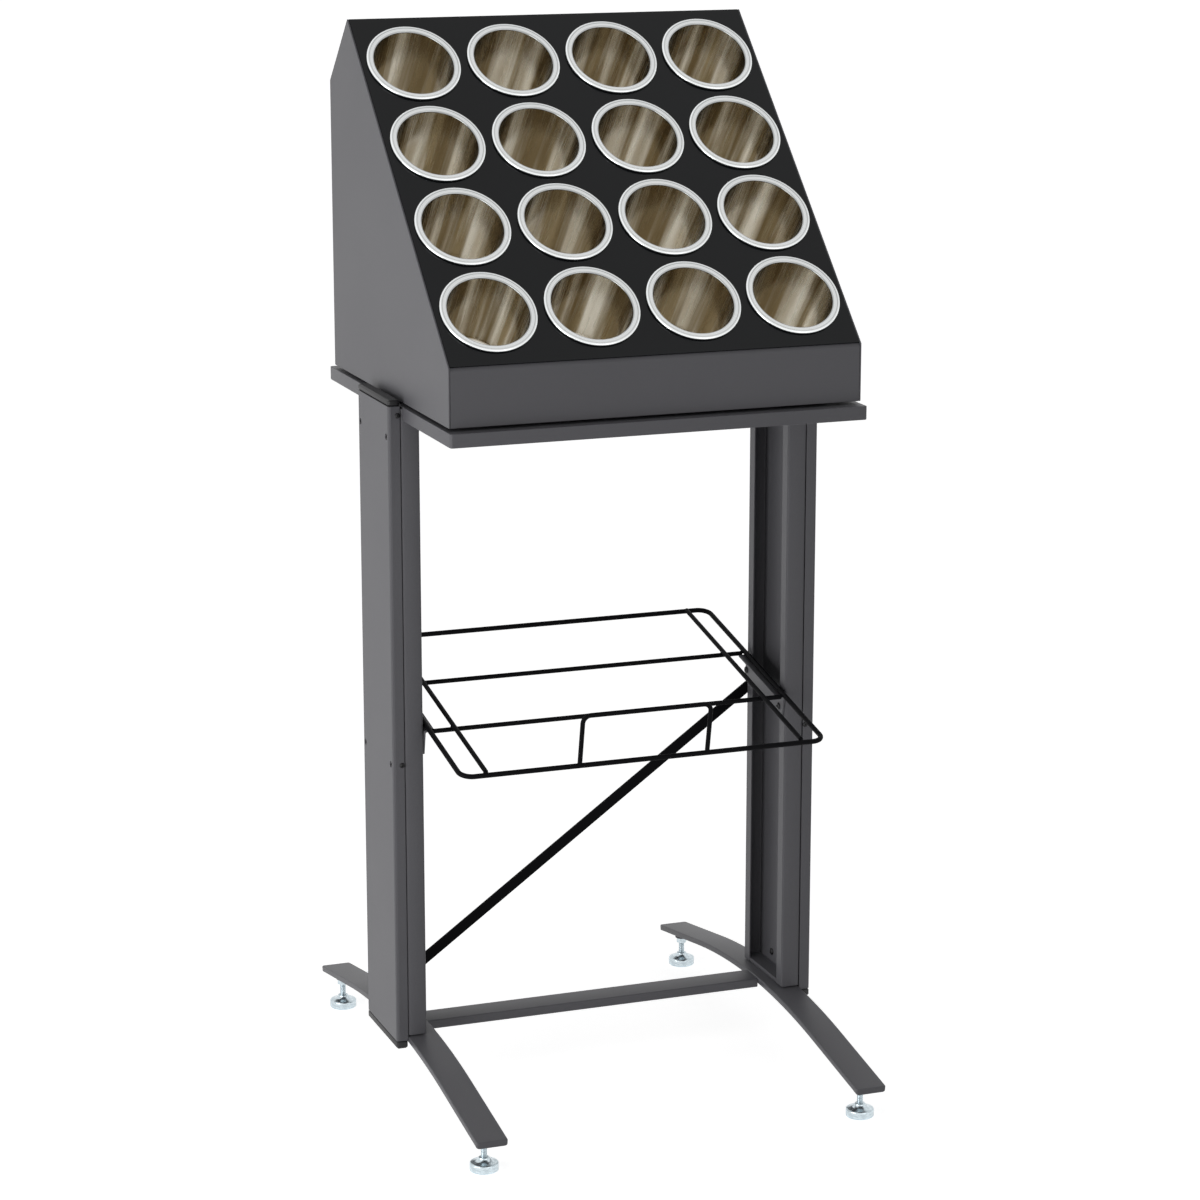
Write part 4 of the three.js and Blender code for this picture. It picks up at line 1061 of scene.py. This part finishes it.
# %% Feet
LEVELLER_Y = 0.306
BOSS_RADIUS = 0.009
BOSS_HEIGHT = 0.008
BOSS_CHAMFER = 0.0006
BOSS_AROUND = 40
BORE_ROOF = 0.002
FOOT_SHARP_FROM = math.radians(35)

boss_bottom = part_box("foot_bar_left")[0].z
boss_root = boss_bottom + BOSS_HEIGHT + FOOT_THICK / 2
bore_top = boss_bottom + BOSS_HEIGHT + FOOT_THICK - BORE_ROOF
bore_start = boss_bottom - BOSS_CHAMFER
boss = turned([(0, boss_bottom), (BOSS_RADIUS - BOSS_CHAMFER, boss_bottom),
               (BOSS_RADIUS, boss_bottom + BOSS_CHAMFER), (BOSS_RADIUS, boss_root), (0, boss_root)],
              BOSS_AROUND, charcoal)
bore = turned([(0, bore_start), (hole_radius + 2 * BOSS_CHAMFER, bore_start),
               (hole_radius, boss_bottom + BOSS_CHAMFER), (hole_radius, bore_top), (0, bore_top)],
              BOSS_AROUND, charcoal)


def at_both_ends(mesh):
    copies = []
    for end in (-LEVELLER_Y, LEVELLER_Y):
        copies.append(mesh.copy())
        copies[-1].transform(Matrix.Translation((0, end, 0)))
    return copies


foot_mesh = combined(combined(bar_mesh, "UNION", at_both_ends(boss)), "DIFFERENCE", at_both_ends(bore))
only_material(foot_mesh, charcoal).shade_smooth()
foot_mesh.set_sharp_from_angle(angle=FOOT_SHARP_FROM)
for side, _ in SIDES:
    low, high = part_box(f"foot_bar_{side}")
    mesh = foot_mesh.copy()
    mesh.transform(Matrix.Translation(((low.x + high.x) / 2, 0, 0)))
    keep(f"foot_bar_{side}_finish", mesh, [f"foot_bar_{side}"])
print("foot solid height:", round(high.z, 4), "piece:", round(max(v.co.z for v in foot_mesh.vertices), 4))

# %% [markdown]
# ## The studio
# The picture has a white surround, so the world and the floor look white to the camera and in
# reflections, while the light that they throw on the object stays low. The floor is open to views from
# below, so that the underside can be seen too.

# %% World
WHITE = (1, 1, 1, 1)
AMBIENT = 0.30


def seen_directly(tree):
    """1 for rays from the camera, from reflections and through glass, and 0 for scattered light."""
    path = add_node(tree, "ShaderNodeLightPath").outputs
    mirrored = math_node(tree, "MAXIMUM", path["Is Glossy Ray"], path["Is Transmission Ray"])
    return math_node(tree, "MAXIMUM", path["Is Camera Ray"], mirrored)


world = bpy.data.worlds.new("studio")
bpy.context.scene.world = world
world.use_nodes = True
sky = world.node_tree
strength = add_node(sky, "ShaderNodeMapRange", Value=seen_directly(sky), To_Min=AMBIENT, To_Max=1.0)
set_inputs(sky, sky.nodes["Background"], Color=WHITE, Strength=strength.outputs[0])
print("world:", world.name, "ambient:", AMBIENT)

# %% Floor
FLOOR_REACH = 30
FLOOR_GREY = (0.8, 0.8, 0.8, 1)
FLOOR_GLOW = 0.78  # with the light that falls on it, the floor comes out white

pale = bpy.data.materials.new("pale_floor")
pale.use_nodes = True
tree = pale.node_tree
shader = tree.nodes["Principled BSDF"]
glow = math_node(tree, "MULTIPLY", seen_directly(tree), FLOOR_GLOW)
set_inputs(tree, shader, Base_Color=FLOOR_GREY, Roughness=0.9, Specular_IOR_Level=0.1,
           Emission_Color=WHITE, Emission_Strength=glow)
from_below = add_node(tree, "ShaderNodeNewGeometry").outputs["Backfacing"]
clear = add_node(tree, "ShaderNodeBsdfTransparent").outputs[0]
open_below = add_node(tree, "ShaderNodeMixShader", _0=from_below, _1=shader.outputs[0], _2=clear)
set_inputs(tree, tree.nodes["Material Output"], Surface=open_below.outputs[0])

floor_corners = [(x * FLOOR_REACH, y * FLOOR_REACH, 0) for x, y in ((-1, -1), (1, -1), (1, 1), (-1, 1))]
floor_mesh = bpy.data.meshes.new("floor")
floor_mesh.from_pydata(floor_corners, [], [(0, 1, 2, 3)])
floor_mesh.materials.append(pale)
floor = in_scene("floor", floor_mesh)
floor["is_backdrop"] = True
print("floor:", pale.name, "reach:", FLOOR_REACH, "m")

# %% [markdown]
# ## The lamps
# Most of the light comes from a large soft lamp on the left, which makes the side panel lighter than
# the front. A weaker and larger one in front fills the shadows.

# %% Lamps
MIDDLE = Vector((0, 0, 0.75))


def soft_lamp(name, at, size, power):
    data = bpy.data.lights.new(name, "AREA")
    data.shape = "DISK"
    data.size = size
    data.energy = power
    lamp = in_scene(name, data)
    lamp.location = at
    lamp.rotation_euler = (MIDDLE - Vector(at)).to_track_quat("-Z", "Y").to_euler()


soft_lamp("left_key", at=(-2.0, -0.75, 0.6), size=1.5, power=20)
soft_lamp("front_fill", at=(1.2, -3.6, 1.4), size=2.0, power=8)
bpy.context.scene.view_settings.view_transform = "Standard"

# %% [markdown]
# ## The size of the station
# The box of the dressed station is printed. Dressing a piece must not make it larger than its solid.

low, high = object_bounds()
print("visual box:", [round(v, 4) for v in (*low, *high)])
